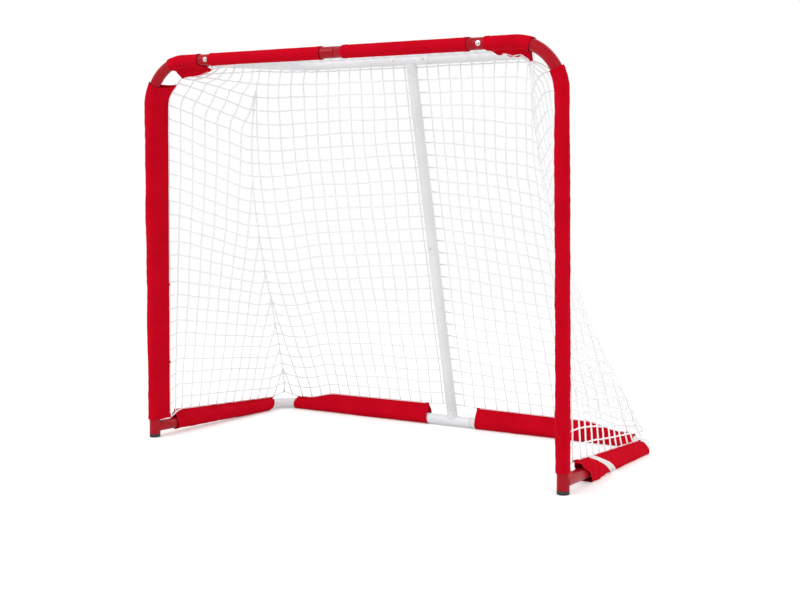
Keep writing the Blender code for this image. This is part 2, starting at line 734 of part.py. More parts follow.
def build_fabric():
    """Sleeves, strap and net. The net starts from the sewn edges of the sleeves that carry it."""
    clearance = FIT + CORD / 2
    centre = post_back()
    halves = {}
    over = {}
    for side, x in SIGN.items():
        post, corner, base, rear = post_sleeve(side), corner_sleeve(side), base_sleeve(side), rear_sleeve(side)
        post.solid(side + "_post_sleeve")
        bar_sleeve(side).solid(side + "_crossbar_sleeve")
        base.solid(side + "_base_sleeve")
        rear.solid(side + "_rear_sleeve")
        made = corner.solid(side + "_corner_sleeve")
        root, _, along = shelf_axis(side)
        leg = [(root, SKIN + FIT), (root + along * SHELF_STUB, SKIN + FIT)]
        boolean(made, new_object(side + "_sleeve_opening", rod(leg, UP)))

        fold = fold_line(side)
        fore = [p - BACK * CORD for p in fold]
        front = post.edge(clearance) + corner.edge(clearance)[:0:-1]
        sewn = base.edge(3 * FIT)
        share = (NET_START - BASE_SLEEVES[side][0]) / (BASE_SLEEVES[side][1] - BASE_SLEEVES[side][0])
        low = [front[0], sewn[0].lerp(sewn[1], share), sewn[1], fore[0]]
        net_panel(side + "_side_net", patch(low, [front[-1], fore[-1]], front, fore), SIDE_GAPS)

        aft = [p - Vector((x * CORD, 0, 0)) for p in fold]
        low = [aft[0], *rear.edge(2 * FIT)[::-1], centre[0]]
        high = [aft[-1], *shelf_line(side, NET_OFFSET)[1:-1], centre[-1]]
        halves[side] = (low, high, aft)
        over[side] = shelf_line(side, R + FIT)

    left, right = halves["left"], halves["right"]
    back = joined(
        patch(left[0], left[1], left[2], centre),
        patch(right[0][::-1], right[1][::-1], centre, right[2]),
    )
    net_panel("back_net", back, BACK_GAPS)

    reach = BAR_POCKET * math.cos(BAR_POCKET_RISE) + clearance
    root, _, along = shelf_axis("right")
    corner_x = (root + along * (reach / along.y)).x
    fore_left, fore_right = (Vector((x, FRONT_Y + reach, NET_Z)) for x in (-corner_x, corner_x))
    rear_edge = over["left"] + over["right"][-2::-1]
    top = patch([fore_left, fore_right], rear_edge, [fore_left, rear_edge[0]], [fore_right, rear_edge[-1]])
    net_panel("top_net", top, TOP_GAPS)
    strap()


def main():
    for old in list(bpy.data.objects):
        bpy.data.objects.remove(old)
    build_frame()
    build_fabric()


main()
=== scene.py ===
# %% [markdown]
# # A street hockey goal, dressed piece by piece
# The goal is a frame of push-fit steel tube. Red cloth sleeves are rolled round the tubes, and a
# white net is sewn into the edges of the sleeves. The measured construction model is loaded first
# and stays where it is. Every piece made here is laid over the part of it that it stands for.

# %% Load the construction model
import math

import bmesh
import bpy
from mathutils import Euler, Matrix, Vector, noise


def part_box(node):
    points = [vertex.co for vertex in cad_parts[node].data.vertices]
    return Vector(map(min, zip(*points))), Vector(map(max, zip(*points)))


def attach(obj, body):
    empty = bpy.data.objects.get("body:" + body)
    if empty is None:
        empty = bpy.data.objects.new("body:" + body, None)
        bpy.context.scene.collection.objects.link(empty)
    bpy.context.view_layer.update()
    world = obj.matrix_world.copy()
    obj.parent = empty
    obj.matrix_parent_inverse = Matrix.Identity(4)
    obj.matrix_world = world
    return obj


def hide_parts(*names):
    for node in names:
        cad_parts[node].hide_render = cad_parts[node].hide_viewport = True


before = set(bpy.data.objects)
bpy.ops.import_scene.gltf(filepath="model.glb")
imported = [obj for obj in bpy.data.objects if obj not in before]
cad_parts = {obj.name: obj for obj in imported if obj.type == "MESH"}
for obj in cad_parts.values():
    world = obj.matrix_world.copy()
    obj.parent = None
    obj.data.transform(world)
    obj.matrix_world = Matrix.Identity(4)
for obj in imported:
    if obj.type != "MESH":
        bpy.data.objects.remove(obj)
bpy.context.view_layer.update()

# %% [markdown]
# ## Sizes
# A goal like this is 54 inches wide and 44 inches high, in tube of an inch and a quarter. The same
# driving sizes make the construction model, so the new pieces fall exactly over it. All lengths are
# in metres, +Z is up, +Y is the back of the goal and +X is to the right of someone facing the mouth.

# %% Driving sizes
WIDTH = 1.3716
HEIGHT = 1.1176
DEPTH = 0.595
TUBE = 0.03175
WALL = 0.0012
FIT = 0.0003
FABRIC = 0.0012
INSERT = 0.045
NECK = 0.003
CORNER_BEND = 0.130
CORNER_REACH = 0.430
PLUG_FLANGE = 0.010
PLUG_DEPTH = 0.020
PLUG_WALL = 0.003
ARM_HEIGHT = 0.031
ARM_STUB = 0.140
BASE_HALF = 0.647
BASE_BEND = 0.060
SHELF_DEPTH = 0.370
SHELF_HALF = 0.390
SHELF_ROOT = 0.520
SHELF_STUB = 0.060
SHELF_BEND = 0.080
TEE_HALF = 0.066
TEE_BRANCH = 0.036
BRANCH_INSERT = 0.030
POST_JOINT_HEIGHT = 0.537
BUTTON_SETBACK = 0.016
BRANCH_SETBACK = 0.012
BUTTON_RADIUS = 0.0031
BUTTON_PROUD = 0.0028
BUTTON_FLANGE = 0.0042
BUTTON_FOOT = 0.0010
CORD = 0.003

R = TUBE / 2
BORE = R - WALL
SPIGOT = BORE - FIT
SPIGOT_BORE = SPIGOT - WALL
FRONT_Y = -DEPTH / 2
REAR_Y = DEPTH / 2
SHELF_Y = FRONT_Y + SHELF_DEPTH
POST_X = WIDTH / 2 - R
BAR_Z = HEIGHT - R
REAR_Z = R + FIT + FABRIC
NET_Z = BAR_Z + R + FIT + CORD / 2
NET_OFFSET = R + FIT + 2 * CORD

RIGHT = Vector((1, 0, 0))
BACK = Vector((0, 1, 0))
UP = Vector((0, 0, 1))
SIGN = {"left": -1, "right": 1}
BAR_MIDDLE = Vector((0, FRONT_Y, BAR_Z))
SHELF_MIDDLE = Vector((0, SHELF_Y, BAR_Z))
BASE_MIDDLE = Vector((0, REAR_Y, REAR_Z))
DOWN = (BASE_MIDDLE - SHELF_MIDDLE).normalized()
SPLIT = SHELF_MIDDLE + DOWN * ((BAR_Z - POST_JOINT_HEIGHT) / -DOWN.z)
print("post axis at x", round(POST_X, 4), "crossbar axis at z", round(BAR_Z, 4))

# %% [markdown]
# ## Camera
# The lens and the place of the camera follow from where the feet, the corners and the crossbar lie
# in the picture: the eye is about 4 m from the middle of the goal, to its right and a little below
# the crossbar. A vertical shift keeps the posts in the frame with the camera almost level.

# %% Camera
EYE = Vector((2.170, -3.296, 0.814))
FOCAL_PIXELS = 1383
FRAME_PIXELS = (800, 600)
CENTRE_PIXEL = (399, 208)
YAW, PITCH, ROLL = (math.radians(a) for a in (33.32, -2.0, -0.38))
SENSOR = 36.0

bpy.ops.object.select_all(action="DESELECT")
bpy.ops.object.camera_add(location=EYE)
camera = bpy.context.object
camera.name = "camera"
camera.rotation_mode = "QUATERNION"
camera.rotation_quaternion = (
    Euler((0, 0, YAW)).to_quaternion()
    @ Euler((math.pi / 2 + PITCH, 0, 0)).to_quaternion()
    @ Euler((0, 0, ROLL)).to_quaternion()
)
camera.data.sensor_width = SENSOR
camera.data.lens = FOCAL_PIXELS * SENSOR / FRAME_PIXELS[0]
camera.data.shift_x = (FRAME_PIXELS[0] / 2 - CENTRE_PIXEL[0]) / FRAME_PIXELS[0]
camera.data.shift_y = (CENTRE_PIXEL[1] - FRAME_PIXELS[1] / 2) / FRAME_PIXELS[0]
bpy.context.scene.camera = camera
print("lens", round(camera.data.lens, 2), "mm")

# %% [markdown]
# ## Materials
# Each finish is a small node tree. One function adds a node with its settings and its links, and
# one turns a colour written as sRGB hex into the linear values that the shader wants. Patterns on
# hard pieces read Object coordinates, which are metres here. Cloth and cord read their own UV map,
# also laid out in metres, so that the pattern follows the surface round a tube.

# %% Helpers for materials
MM = 0.001


def linear(code):
    """An sRGB hex colour as linear RGBA."""
    parts = [int(code[i : i + 2], 16) / 255 for i in (0, 2, 4)]
    return [p / 12.92 if p <= 0.04045 else ((p + 0.055) / 1.055) ** 2.4 for p in parts] + [1.0]


def add_node(tree, kind, output, inputs=None, **settings):
    """A node with its settings, and one output of it. An input is a value, or an output to link."""
    made = tree.nodes.new("ShaderNode" + kind)
    for key, value in settings.items():
        setattr(made, key, value)
    for key, value in (inputs or {}).items():
        if isinstance(value, bpy.types.NodeSocket):
            tree.links.new(value, made.inputs[key])
        else:
            made.inputs[key].default_value = value
    return made.outputs[output]


def new_finish(name, **sockets):
    """A material with values on its Principled shader: the material, its tree and its shader."""
    made = bpy.data.materials.new(name)
    made.use_nodes = True
    shader = made.node_tree.nodes["Principled BSDF"]
    for key, value in sockets.items():
        shader.inputs[key.replace("_", " ")].default_value = value
    return made, made.node_tree, shader


def two_tone(tree, shader, place, tones, patch_mm, detail, low=0.35, high=0.65):
    """A base colour that drifts from one tone to another in patches. It gives the drift back."""
    scale = 1 / (patch_mm * MM)
    drift = add_node(tree, "TexNoise", "Fac", {"Vector": place, "Scale": scale, "Detail": detail})
    colour = add_node(tree, "ValToRGB", "Color", {"Fac": drift})
    for stop, position, code in zip(colour.node.color_ramp.elements, (low, high), tones):
        stop.position = position
        stop.color = linear(code)
    tree.links.new(colour, shader.inputs["Base Color"])
    return drift


# %% [markdown]
# **Powder coat** is paint baked on as dust. It is smooth and half glossy, with a faint orange peel
# about a millimetre across, which shows only in its reflections. Handling leaves soft dull patches,
# so the roughness drifts from place to place. The red coat reflects less than the white.

# %% Powder coat, red and white
def powder_coat(name, tones, roughness, gloss):
    made, tree, shader = new_finish(name, Roughness=roughness, Specular_IOR_Level=gloss)
    place = add_node(tree, "TexCoord", "Object")
    patches = two_tone(tree, shader, place, tones, 110, 3.0)
    limits = {"Value": patches, "To Min": roughness - 0.04, "To Max": roughness + 0.06}
    tree.links.new(add_node(tree, "MapRange", "Result", limits), shader.inputs["Roughness"])
    peel = add_node(tree, "TexNoise", "Fac", {"Vector": place, "Scale": 1 / (1.2 * MM), "Detail": 1.0})
    bump = add_node(tree, "Bump", "Normal", {"Strength": 0.12, "Distance": 0.04 * MM, "Height": peel})
    tree.links.new(bump, shader.inputs["Normal"])
    return made


RED_STEEL = (powder_coat("red_powder_coat", ("A20C1B", "AE1022"), 0.28, 0.13), "red_steel")
WHITE_STEEL = (powder_coat("white_powder_coat", ("E4E5E7", "EBECEE"), 0.34, 0.5), "white_steel")
print(RED_STEEL[0].name, WHITE_STEEL[0].name)

# %% [markdown]
# **Nickel plate** on the buttons, the eyelets and the snap of the strap is warm grey and fairly
# bright. **Spring steel** in the tubes is darker and oiled. **Polyethylene** plugs are black and
# satin. Their grain is fine and even, so one function gives each its noise.

# %% Nickel, spring steel and polyethylene
def fine_grained(name, tones, roughness, metallic, grain_mm, depth_mm):
    made, tree, shader = new_finish(name, Roughness=roughness, Metallic=metallic)
    grain = two_tone(tree, shader, add_node(tree, "TexCoord", "Object"), tones, grain_mm, 3.0)
    bump = add_node(tree, "Bump", "Normal", {"Strength": 0.3, "Distance": depth_mm * MM, "Height": grain})
    tree.links.new(bump, shader.inputs["Normal"])
    return made


NICKEL = (fine_grained("nickel_plate", ("BDBCB7", "DBDAD5"), 0.24, 1.0, 0.8, 0.01), "bright_steel")
SPRING_STEEL = fine_grained("oiled_spring_steel", ("7E7E7D", "9A9A98"), 0.36, 1.0, 1.5, 0.02)
PLASTIC = (fine_grained("black_polyethylene", ("1E1B1C", "2A2627"), 0.50, 0.0, 0.9, 0.04), "black_plastic")
print(NICKEL[0].name, SPRING_STEEL.name, PLASTIC[0].name)

# %% [markdown]
# **Woven cloth** has threads that cross. Two wave textures, one along the cloth and one across it,
# make the threads as a bump. Real polyester of this kind has about 20 threads in a centimetre,
# which is too fine to show from four metres, so they are drawn 1.2 mm apart. The colour drifts
# softly, as dyed cloth does, and a little sheen lights it where it turns away from the eye. Light
# that comes off a dyed thread takes its colour, so the sheen is tinted and the gloss is low. The
# red cloth is thin, so some light passes a few millimetres through it, as subsurface scattering.

# %% Woven cloth and webbing
WAVE = 2 * math.pi / 20  # from band to band of a wave texture whose scale is 1


def woven(name, tones, thread_mm, sheen, gloss, roughness=0.82, depth_mm=0.12, **sockets):
    made, tree, shader = new_finish(
        name, Roughness=roughness, Specular_IOR_Level=gloss, Sheen_Weight=sheen, Sheen_Roughness=0.45,
        Sheen_Tint=linear(tones[1]), **sockets,
    )
    place = add_node(tree, "TexCoord", "UV")
    two_tone(tree, shader, place, tones, 90, 4.0, 0.30, 0.70)
    threads = {"Vector": place, "Scale": WAVE / (thread_mm * MM), "Distortion": 0.4}
    waves = [add_node(tree, "TexWave", "Fac", threads, bands_direction=direction) for direction in "XY"]
    crossed = add_node(tree, "Math", "Value", {0: waves[0], 1: waves[1]}, operation="MULTIPLY")
    bump = add_node(tree, "Bump", "Normal", {"Strength": 0.5, "Distance": depth_mm * MM, "Height": crossed})
    tree.links.new(bump, shader.inputs["Normal"])
    return made


THIN = {"Subsurface_Weight": 0.25, "Subsurface_Radius": (1.0, 0.10, 0.14), "Subsurface_Scale": 2.0 * MM}
RED_CLOTH = (woven("red_polyester_cloth", ("C0031C", "CC0620"), 1.2, 0.10, 0.03, **THIN), "red_fabric")
WEBBING = (
    woven("white_polyester_webbing", ("E6E4E0", "F2F0EC"), 1.6, 0.05, 0.2, 0.75, 0.25), "white_webbing"
)
NET_CORD = (woven("white_braided_cord", ("F6F9FB", "FCFEFF"), 2.0, 0.05, 0.2, 0.80, 0.15), "white_cord")
THREAD = (woven("red_sewing_thread", ("A80419", "B8061C"), 0.8, 0.1, 0.1), "red_fabric")
print([finish[0].name for finish in (RED_CLOTH, WEBBING, NET_CORD, THREAD)])

# %% [markdown]
# ## Modelling by hand, in code
# Everything below starts from a primitive and is shaped with the tools of edit mode. Operators act
# on whatever is selected, and the loaded model arrives selected, so each piece starts with nothing
# selected. A finished piece has its object at the origin, with its place in its mesh.

# %% Helpers for modelling
TUBE_SIDES = 40
SMOOTH_TO = 30


def leave_edit():
    bpy.ops.object.mode_set(mode="OBJECT")


def deselect():
    if bpy.context.object and bpy.context.object.mode != "OBJECT":
        leave_edit()
    bpy.ops.object.select_all(action="DESELECT")


def pick(*objects):
    """Selects these objects, and makes the first one active."""
    deselect()
    for one in objects:
        one.select_set(True)
    bpy.context.view_layer.objects.active = objects[0]


def edit(made, action="SELECT"):
    """Opens a piece in edit mode, with all or nothing of it selected."""
    pick(made)
    bpy.ops.object.mode_set(mode="EDIT")
    bpy.ops.mesh.select_all(action=action)


def edit_top(made):
    """Opens a piece in edit mode, with the faces on its top selected."""
    edit(made, "DESELECT")
    leave_edit()
    for face in made.data.polygons:
        face.select = face.normal.z > 0.9
    bpy.ops.object.mode_set(mode="EDIT")
    bpy.ops.mesh.select_mode(type="FACE")


def named(made, name):
    made.name = name
    made.data.name = name
    return made


def settle(made, name):
    """Names a new piece and moves its place and turn into its mesh."""
    pick(made)
    bpy.ops.object.transform_apply(location=True, rotation=True, scale=True)
    return named(made, name)


def smooth(made, angle=SMOOTH_TO):
    """Shades a piece smooth, but sharp where two faces meet at more than an angle."""
    pick(made)
    bpy.ops.object.shade_smooth_by_angle(angle=math.radians(angle))
    return made


def tidy_faces(made, angle=SMOOTH_TO):
    """Merges doubles, turns all faces outwards and shades the piece."""
    edit(made)
    bpy.ops.mesh.remove_doubles(threshold=1e-5)
    bpy.ops.mesh.normals_make_consistent(inside=False)
    return smooth(made, angle)


def joined(name, *objects):
    """Several meshes as one piece."""
    pick(*objects)
    bpy.ops.object.join()
    return named(objects[0], name)


def modified(made, kind, **settings):
    """One modifier with its settings, applied at once."""
    pick(made)
    modifier = made.modifiers.new(kind.lower(), kind)
    for key, value in settings.items():
        setattr(modifier, key, value)
    bpy.ops.object.modifier_apply(modifier=modifier.name)


def carve(made, cutter):
    """Cuts one shape out of another. The cutter is used up."""
    modified(made, "BOOLEAN", object=cutter, operation="DIFFERENCE")
    bpy.data.objects.remove(cutter)


def turned(along):
    """The turn that brings +Z to a direction."""
    return along.to_track_quat("Z", "Y")


def stood(made, place, facing, name):
    """Stands a piece that was made on the origin, pointing up, at its place."""
    made.matrix_world = Matrix.Translation(place) @ turned(facing).to_matrix().to_4x4()
    return settle(made, name)


def dressed(made, finish, body, *nodes):
    """Gives a piece its material and its body, and hides the nodes that it stands for."""
    material, slot = finish
    made.data.materials.clear()
    made.data.materials.append(material)
    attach(made, body)
    if nodes:
        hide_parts(*nodes)
    return made


# %% [markdown]
# A bent tube is one circle that travels: it is extruded along the straight stretches and spun
# round the bends. This class holds such a route, a straight, a bend and a straight, and gives the
# point and the direction at any length along it. Sleeves and the edges of the net use it too.

# %% Routes
class Route:
    def __init__(self, start, corner, end, radius):
        self.start, self.corner, self.end, self.radius = start, corner, end, radius
        self.first = (corner - start).normalized()
        self.second = (end - corner).normalized()
        self.turn = self.first.angle(self.second)
        tangent = radius * math.tan(self.turn / 2)
        self.one = (corner - start).length - tangent
        self.bend = radius * self.turn
        self.length = self.one + self.bend + (end - corner).length - tangent
        self.axis = self.first.cross(self.second).normalized()
        self.centre = start + self.first * self.one + self.axis.cross(self.first) * radius

    def at(self, s):
        """The point and the direction a length s along the route."""
        if s <= self.one:
            return self.start + self.first * s, self.first
        if s >= self.one + self.bend:
            return self.end - self.second * (self.length - s), self.second
        turned_by = Matrix.Rotation((s - self.one) / self.radius, 3, self.axis)
        arm = self.start + self.first * self.one - self.centre
        return self.centre + turned_by @ arm, turned_by @ self.first


class Line:
    """A straight route."""

    def __init__(self, start, end):
        self.start, self.end = start, end
        self.first = (end - start).normalized()
        self.length = (end - start).length

    def at(self, s):
        return self.start + self.first * s, self.first


FRONT, BASE, SHELF = {}, {}, {}
for side, x in SIGN.items():
    post = x * POST_X
    base_corner = Vector((x * BASE_HALF, REAR_Y, REAR_Z))
    shelf_root = Vector((x * SHELF_ROOT, FRONT_Y, BAR_Z))
    shelf_corner = Vector((x * SHELF_HALF, SHELF_Y, BAR_Z))
    FRONT[side] = Route(Vector((post, FRONT_Y, 0)), Vector((post, FRONT_Y, BAR_Z)), BAR_MIDDLE, CORNER_BEND)
    BASE[side] = Route(Vector((post, FRONT_Y, ARM_HEIGHT)), base_corner, BASE_MIDDLE, BASE_BEND)
    SHELF[side] = Route(shelf_root, shelf_corner, SHELF_MIDDLE, SHELF_BEND)
    print(side, "front", round(FRONT[side].length, 3), "base", round(BASE[side].length, 3))

# %% [markdown]
# ## Tubes
# The tube is steel with a wall of 1.2 mm. Its end is pressed down over a short cone to a narrower
# spigot, which slides into the next tube. The circle is extruded, spun and scaled along the route,
# and Solidify then gives the wall inwards.

# %% A tube along a route
BEND_STEP = math.radians(5)


def travelling_ring(place, along, radius):
    """A circle of edges, square to a direction, open for editing."""
    deselect()
    bpy.ops.mesh.primitive_circle_add(
        vertices=TUBE_SIDES, radius=radius, location=place, rotation=turned(along).to_euler()
    )
    made = settle(bpy.context.object, "ring")
    edit(made)
    return made


def push(step):
    """Extrudes the selected ring by a step."""
    bpy.ops.mesh.extrude_edges_move(TRANSFORM_OT_translate={"value": tuple(step)})


def shrink(factor, centre):
    """Scales the selected ring about a point."""
    bpy.ops.transform.resize(value=(factor,) * 3, center_override=tuple(centre))


def tube(name, route, first, last, neck_start=0.0, neck_end=0.0):
    """A tube from one length along a route to another. A neck is the length of a spigot past an end."""
    place, along = route.at(first)
    made = travelling_ring(place - along * neck_start, along, SPIGOT if neck_start else R)
    if neck_start:
        push(along * neck_start)
        push(along * NECK)
        shrink(R / SPIGOT, place + along * NECK)
        place = place + along * NECK
    if isinstance(route, Route) and first < route.one < last:
        push(route.at(route.one)[0] - place)
        steps = max(round(route.turn / BEND_STEP), 1)
        bpy.ops.mesh.spin(steps=steps, angle=-route.turn, center=tuple(route.centre), axis=tuple(route.axis))
        place = route.at(route.one + route.bend)[0]
    end, along = route.at(last)
    if neck_end:
        push(end - along * NECK - place)
        push(along * NECK)
        shrink(SPIGOT / R, end)
        push(along * neck_end)
    else:
        push(end - place)
    tidy_faces(made)
    modified(made, "SOLIDIFY", thickness=WALL, offset=-1)
    return named(smooth(made), name)


def rod(start, along, length, radius):
    """A round bar with flat ends, used as a cutter."""
    deselect()
    middle = start + along * (length / 2)
    bpy.ops.mesh.primitive_cylinder_add(
        vertices=TUBE_SIDES, radius=radius, depth=length, location=middle, rotation=turned(along).to_euler()
    )
    return settle(bpy.context.object, "rod")


print("a bend turns by", round(math.degrees(BEND_STEP)), "degrees a step")

# %% [markdown]
# ## Snap buttons
# A push-fit joint is held by a small domed button on a V spring. It stands in a hole through both
# tubes, and a thumb presses it in to take the goal apart. Each button is a cylinder whose head is
# extruded ring by ring into a dome, with a wider foot that stays inside. It rides on its own body,
# so it sinks when its joint moves.

# %% Where the buttons are
SOCKETS = [("crossbar_centre", BAR_MIDDLE, -RIGHT, -UP, BUTTON_SETBACK)]
for side, x in SIGN.items():
    base, shelf, out = BASE[side], SHELF[side], RIGHT * x
    base_up = RIGHT.cross(base.first).normalized()
    SOCKETS += [
        ("crossbar_" + side, Vector((x * CORNER_REACH, FRONT_Y, BAR_Z)), out, -BACK, BUTTON_SETBACK),
        ("base_arm_" + side, base.at(ARM_STUB)[0], base.first, base_up, BUTTON_SETBACK),
        ("shelf_arm_" + side, shelf.at(SHELF_STUB)[0], shelf.first, -UP, BUTTON_SETBACK),
        ("shelf_bar_" + side, SHELF_MIDDLE + out * TEE_HALF, -out, -BACK, BUTTON_SETBACK),
        ("rear_bar_" + side, BASE_MIDDLE + out * TEE_HALF, -out, BACK, BUTTON_SETBACK),
    ]
SOCKETS += [
    ("rear_post_top", SHELF_MIDDLE + DOWN * TEE_BRANCH, -DOWN, RIGHT, BRANCH_SETBACK),
    ("rear_post_middle", SPLIT, -DOWN, -BACK, BUTTON_SETBACK),
    ("rear_post_foot", BASE_MIDDLE - DOWN * TEE_BRANCH, DOWN, RIGHT, BRANCH_SETBACK),
]
JOINTS = {}
for name, mouth, into, facing, setback in SOCKETS:
    into = into.normalized()
    facing = (facing - into * facing.dot(into)).normalized()
    JOINTS[name] = (mouth + into * setback, facing)

# %% One button, then a copy for each joint
FACET = math.cos(math.pi / 16)  # how far in the flats of the construction model's bores lie
BUTTON_SEAT = math.sqrt(SPIGOT_BORE**2 - BUTTON_FLANGE**2) * FACET - FIT
DOME = ((0.995, 0.62), (0.93, 0.38), (0.80, 0.20), (0.62, 0.09), (0.40, 0.03), (0.16, 0.0))


def raised(rings, centre=(0, 0)):
    """Extrudes the selected face up through rings, each with its radius and its height."""
    for (radius, height), (wide, level) in zip(rings, rings[1:]):
        bpy.ops.mesh.extrude_region_move(TRANSFORM_OT_translate={"value": (0, 0, level - height)})
        share = wide / radius
        bpy.ops.transform.resize(value=(share, share, 1), center_override=(*centre, level))


def disc(sides, radius, depth, foot):
    """A flat cylinder on the Z axis, with its foot at a height and its top face open for editing."""
    deselect()
    bpy.ops.mesh.primitive_cylinder_add(vertices=sides, radius=radius, depth=depth)
    made = bpy.context.object
    made.location.z = foot + depth / 2
    edit_top(settle(made, "disc"))
    return made


def model_button():
    """A button that stands on the origin and points up: foot, shank and domed head."""
    made = disc(32, BUTTON_FLANGE, BUTTON_FOOT, BUTTON_SEAT - BUTTON_FOOT)
    bpy.ops.mesh.inset(thickness=BUTTON_FLANGE - BUTTON_RADIUS)
    top = R + BUTTON_PROUD
    dome = [(BUTTON_RADIUS * wide, top - BUTTON_RADIUS * below) for wide, below in DOME]
    raised([(BUTTON_RADIUS, BUTTON_SEAT)] + dome)
    return tidy_faces(made, 40)


pattern = model_button()
for name, (centre, facing) in JOINTS.items():
    button = pattern.copy()
    button.data = pattern.data.copy()
    bpy.context.scene.collection.objects.link(button)
    dressed(stood(button, centre, facing, "snap_button_" + name), NICKEL, "body_" + name, "button_" + name)
bpy.data.objects.remove(pattern)
print("buttons rest", round((R + BUTTON_PROUD) * 1000, 2), "mm from the tube's axis")


# %% [markdown]
# ## The tubes themselves
# The corner tube is one length of steel: post, rounded corner and the end of the crossbar. Two
# short stubs are welded to it, one for the base and one for the shelf. A Boolean cuts the root of
# a stub to the round of the main tube, and the bead is a cord along the curve where the two meet.

# %% Holes, stubs and beads
BEAD = 0.0016
BEAD_POINTS = 72
BEAD_RIPPLES = 18
BEAD_RIPPLE = 0.0003
BEAD_CLEAR = 1.0001  # the bead lies a hair outside the main tube
SADDLE = 0.06


def punch(made, *names):
    """Cuts the holes for the named buttons."""
    for name in names:
        centre, facing = JOINTS[name]
        carve(made, rod(centre + facing * (SPIGOT_BORE * 0.6), facing, R, BUTTON_RADIUS + FIT))


def round_cords(name, lines, radius, sides, closed=False):
    """Round cords along lines of points, as one mesh."""
    curve = bpy.data.curves.new(name, "CURVE")
    curve.dimensions = "3D"
    curve.bevel_depth = radius
    curve.bevel_resolution = sides
    curve.use_fill_caps = True
    for line in lines:
        spline = curve.splines.new("POLY")
        spline.use_cyclic_u = closed
        spline.points.add(len(line) - 1)
        for point, place in zip(spline.points, line):
            point.co = (*place, 1)
    made = bpy.data.objects.new(name, curve)
    bpy.context.scene.collection.objects.link(made)
    pick(made)
    bpy.ops.object.convert(target="MESH")
    return named(bpy.context.object, name)


def weld_bead(root, main, branch):
    """The bead along the meeting line of a branch tube and a main tube of the same size."""
    across = main.cross(branch).normalized()
    beside = branch.cross(across).normalized()
    lift = branch - main * branch.dot(main)
    line = []
    for k in range(BEAD_POINTS):
        turn = 2 * math.pi * k / BEAD_POINTS
        aside = across * math.cos(turn) * R + beside * math.sin(turn) * R
        off = aside - main * aside.dot(main)
        a, b, c = lift.length_squared, 2 * off.dot(lift), off.length_squared - R * R * BEAD_CLEAR
        reach = (-b + math.sqrt(max(b * b - 4 * a * c, 0))) / (2 * a)
        line.append(root + aside + branch * (reach + BEAD_RIPPLE * math.sin(turn * BEAD_RIPPLES)))
    return round_cords("bead", [line], BEAD, 2, True)


def welded(made, stub, root, main, branch, hole):
    """A tube with a stub on it: the stub is cut round, punched and joined with its bead."""
    carve(stub, rod(root - main * SADDLE, main, 2 * SADDLE, R - WALL / 2))
    punch(stub, hole)
    tidy_faces(stub)
    return smooth(joined(made.name, made, stub, weld_bead(root, main, branch)))


def corner_tube(side):
    front = FRONT[side]
    made = tube(side + "_corner_pipe", front, PLUG_FLANGE + FIT, front.length - CORNER_REACH)
    punch(made, "crossbar_" + side)
    arms = ((BASE[side], ARM_STUB, UP, "base_arm_"), (SHELF[side], SHELF_STUB, RIGHT, "shelf_arm_"))
    for arm, length, main, hole in arms:
        stub = tube("stub", Line(arm.at(WALL)[0], arm.at(length)[0]), 0, length - WALL, neck_end=INSERT)
        made = welded(made, stub, arm.start, main, arm.first, hole + side)
    return made


def reach_of(made, node):
    """How far a new piece's box is from its node's, in millimetres, at the worst corner."""
    spans = [[v.co[i] for v in made.data.vertices] for i in range(3)]
    off = [max(abs(min(s) - low), abs(max(s) - high)) for s, low, high in zip(spans, *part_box(node))]
    return round(max(off) * 1000, 2)


for side in SIGN:
    node = side + "_corner_tube"
    pipe = dressed(corner_tube(side), RED_STEEL, "frame", node)
    print(pipe.name, len(pipe.data.polygons), "faces, box off by", reach_of(pipe, node), "mm")


# %% Crossbar, base, shelf and rear post
def fitted(name, node, steel, route, ends, necks, holes):
    """A tube with its holes and its paint."""
    made = tube(name, route, *ends, *necks)
    punch(made, *holes)
    return dressed(made, steel, "frame", node)


def tee(name, node, middle, branch, bars, leg_hole):
    """A short tube with a branch welded to its side."""
    bar = tube(name, Line(middle - RIGHT * TEE_HALF, middle + RIGHT * TEE_HALF), 0, 2 * TEE_HALF)
    carve(bar, rod(middle, branch, R * 1.5, BORE))
    punch(bar, bars + "left", bars + "right")
    leg = tube("leg", Line(middle + branch * WALL, middle + branch * TEE_BRANCH), 0, TEE_BRANCH - WALL)
    made = dressed(welded(bar, leg, middle, RIGHT, branch, leg_hole), WHITE_STEEL, "frame", node)
    print(name, "box off by", reach_of(made, node), "mm")


for side, x in SIGN.items():
    bar = Line(Vector((x * (CORNER_REACH - FIT), FRONT_Y, BAR_Z)), Vector((x * FIT, FRONT_Y, BAR_Z)))
    necks = (INSERT, INSERT if side == "right" else 0.0)
    holes = ("crossbar_centre", "crossbar_" + side)
    fitted(side + "_crossbar_pipe", side + "_crossbar_tube", RED_STEEL, bar, (0, bar.length), necks, holes)
    for kind, route, stub, low, high in (
        ("_base", BASE[side], ARM_STUB, "base_arm_", "rear_bar_"),
        ("_shelf", SHELF[side], SHELF_STUB, "shelf_arm_", "shelf_bar_"),
    ):
        ends = (stub + FIT, route.length - TEE_HALF - FIT)
        holes = (low + side, high + side)
        fitted(side + kind + "_pipe", side + kind + "_tube", WHITE_STEEL, route, ends, (0, INSERT), holes)

tee("shelf_tee_pipe", "shelf_tee", SHELF_MIDDLE, DOWN, "shelf_bar_", "rear_post_top")
tee("base_tee_pipe", "base_tee", BASE_MIDDLE, -DOWN, "rear_bar_", "rear_post_foot")

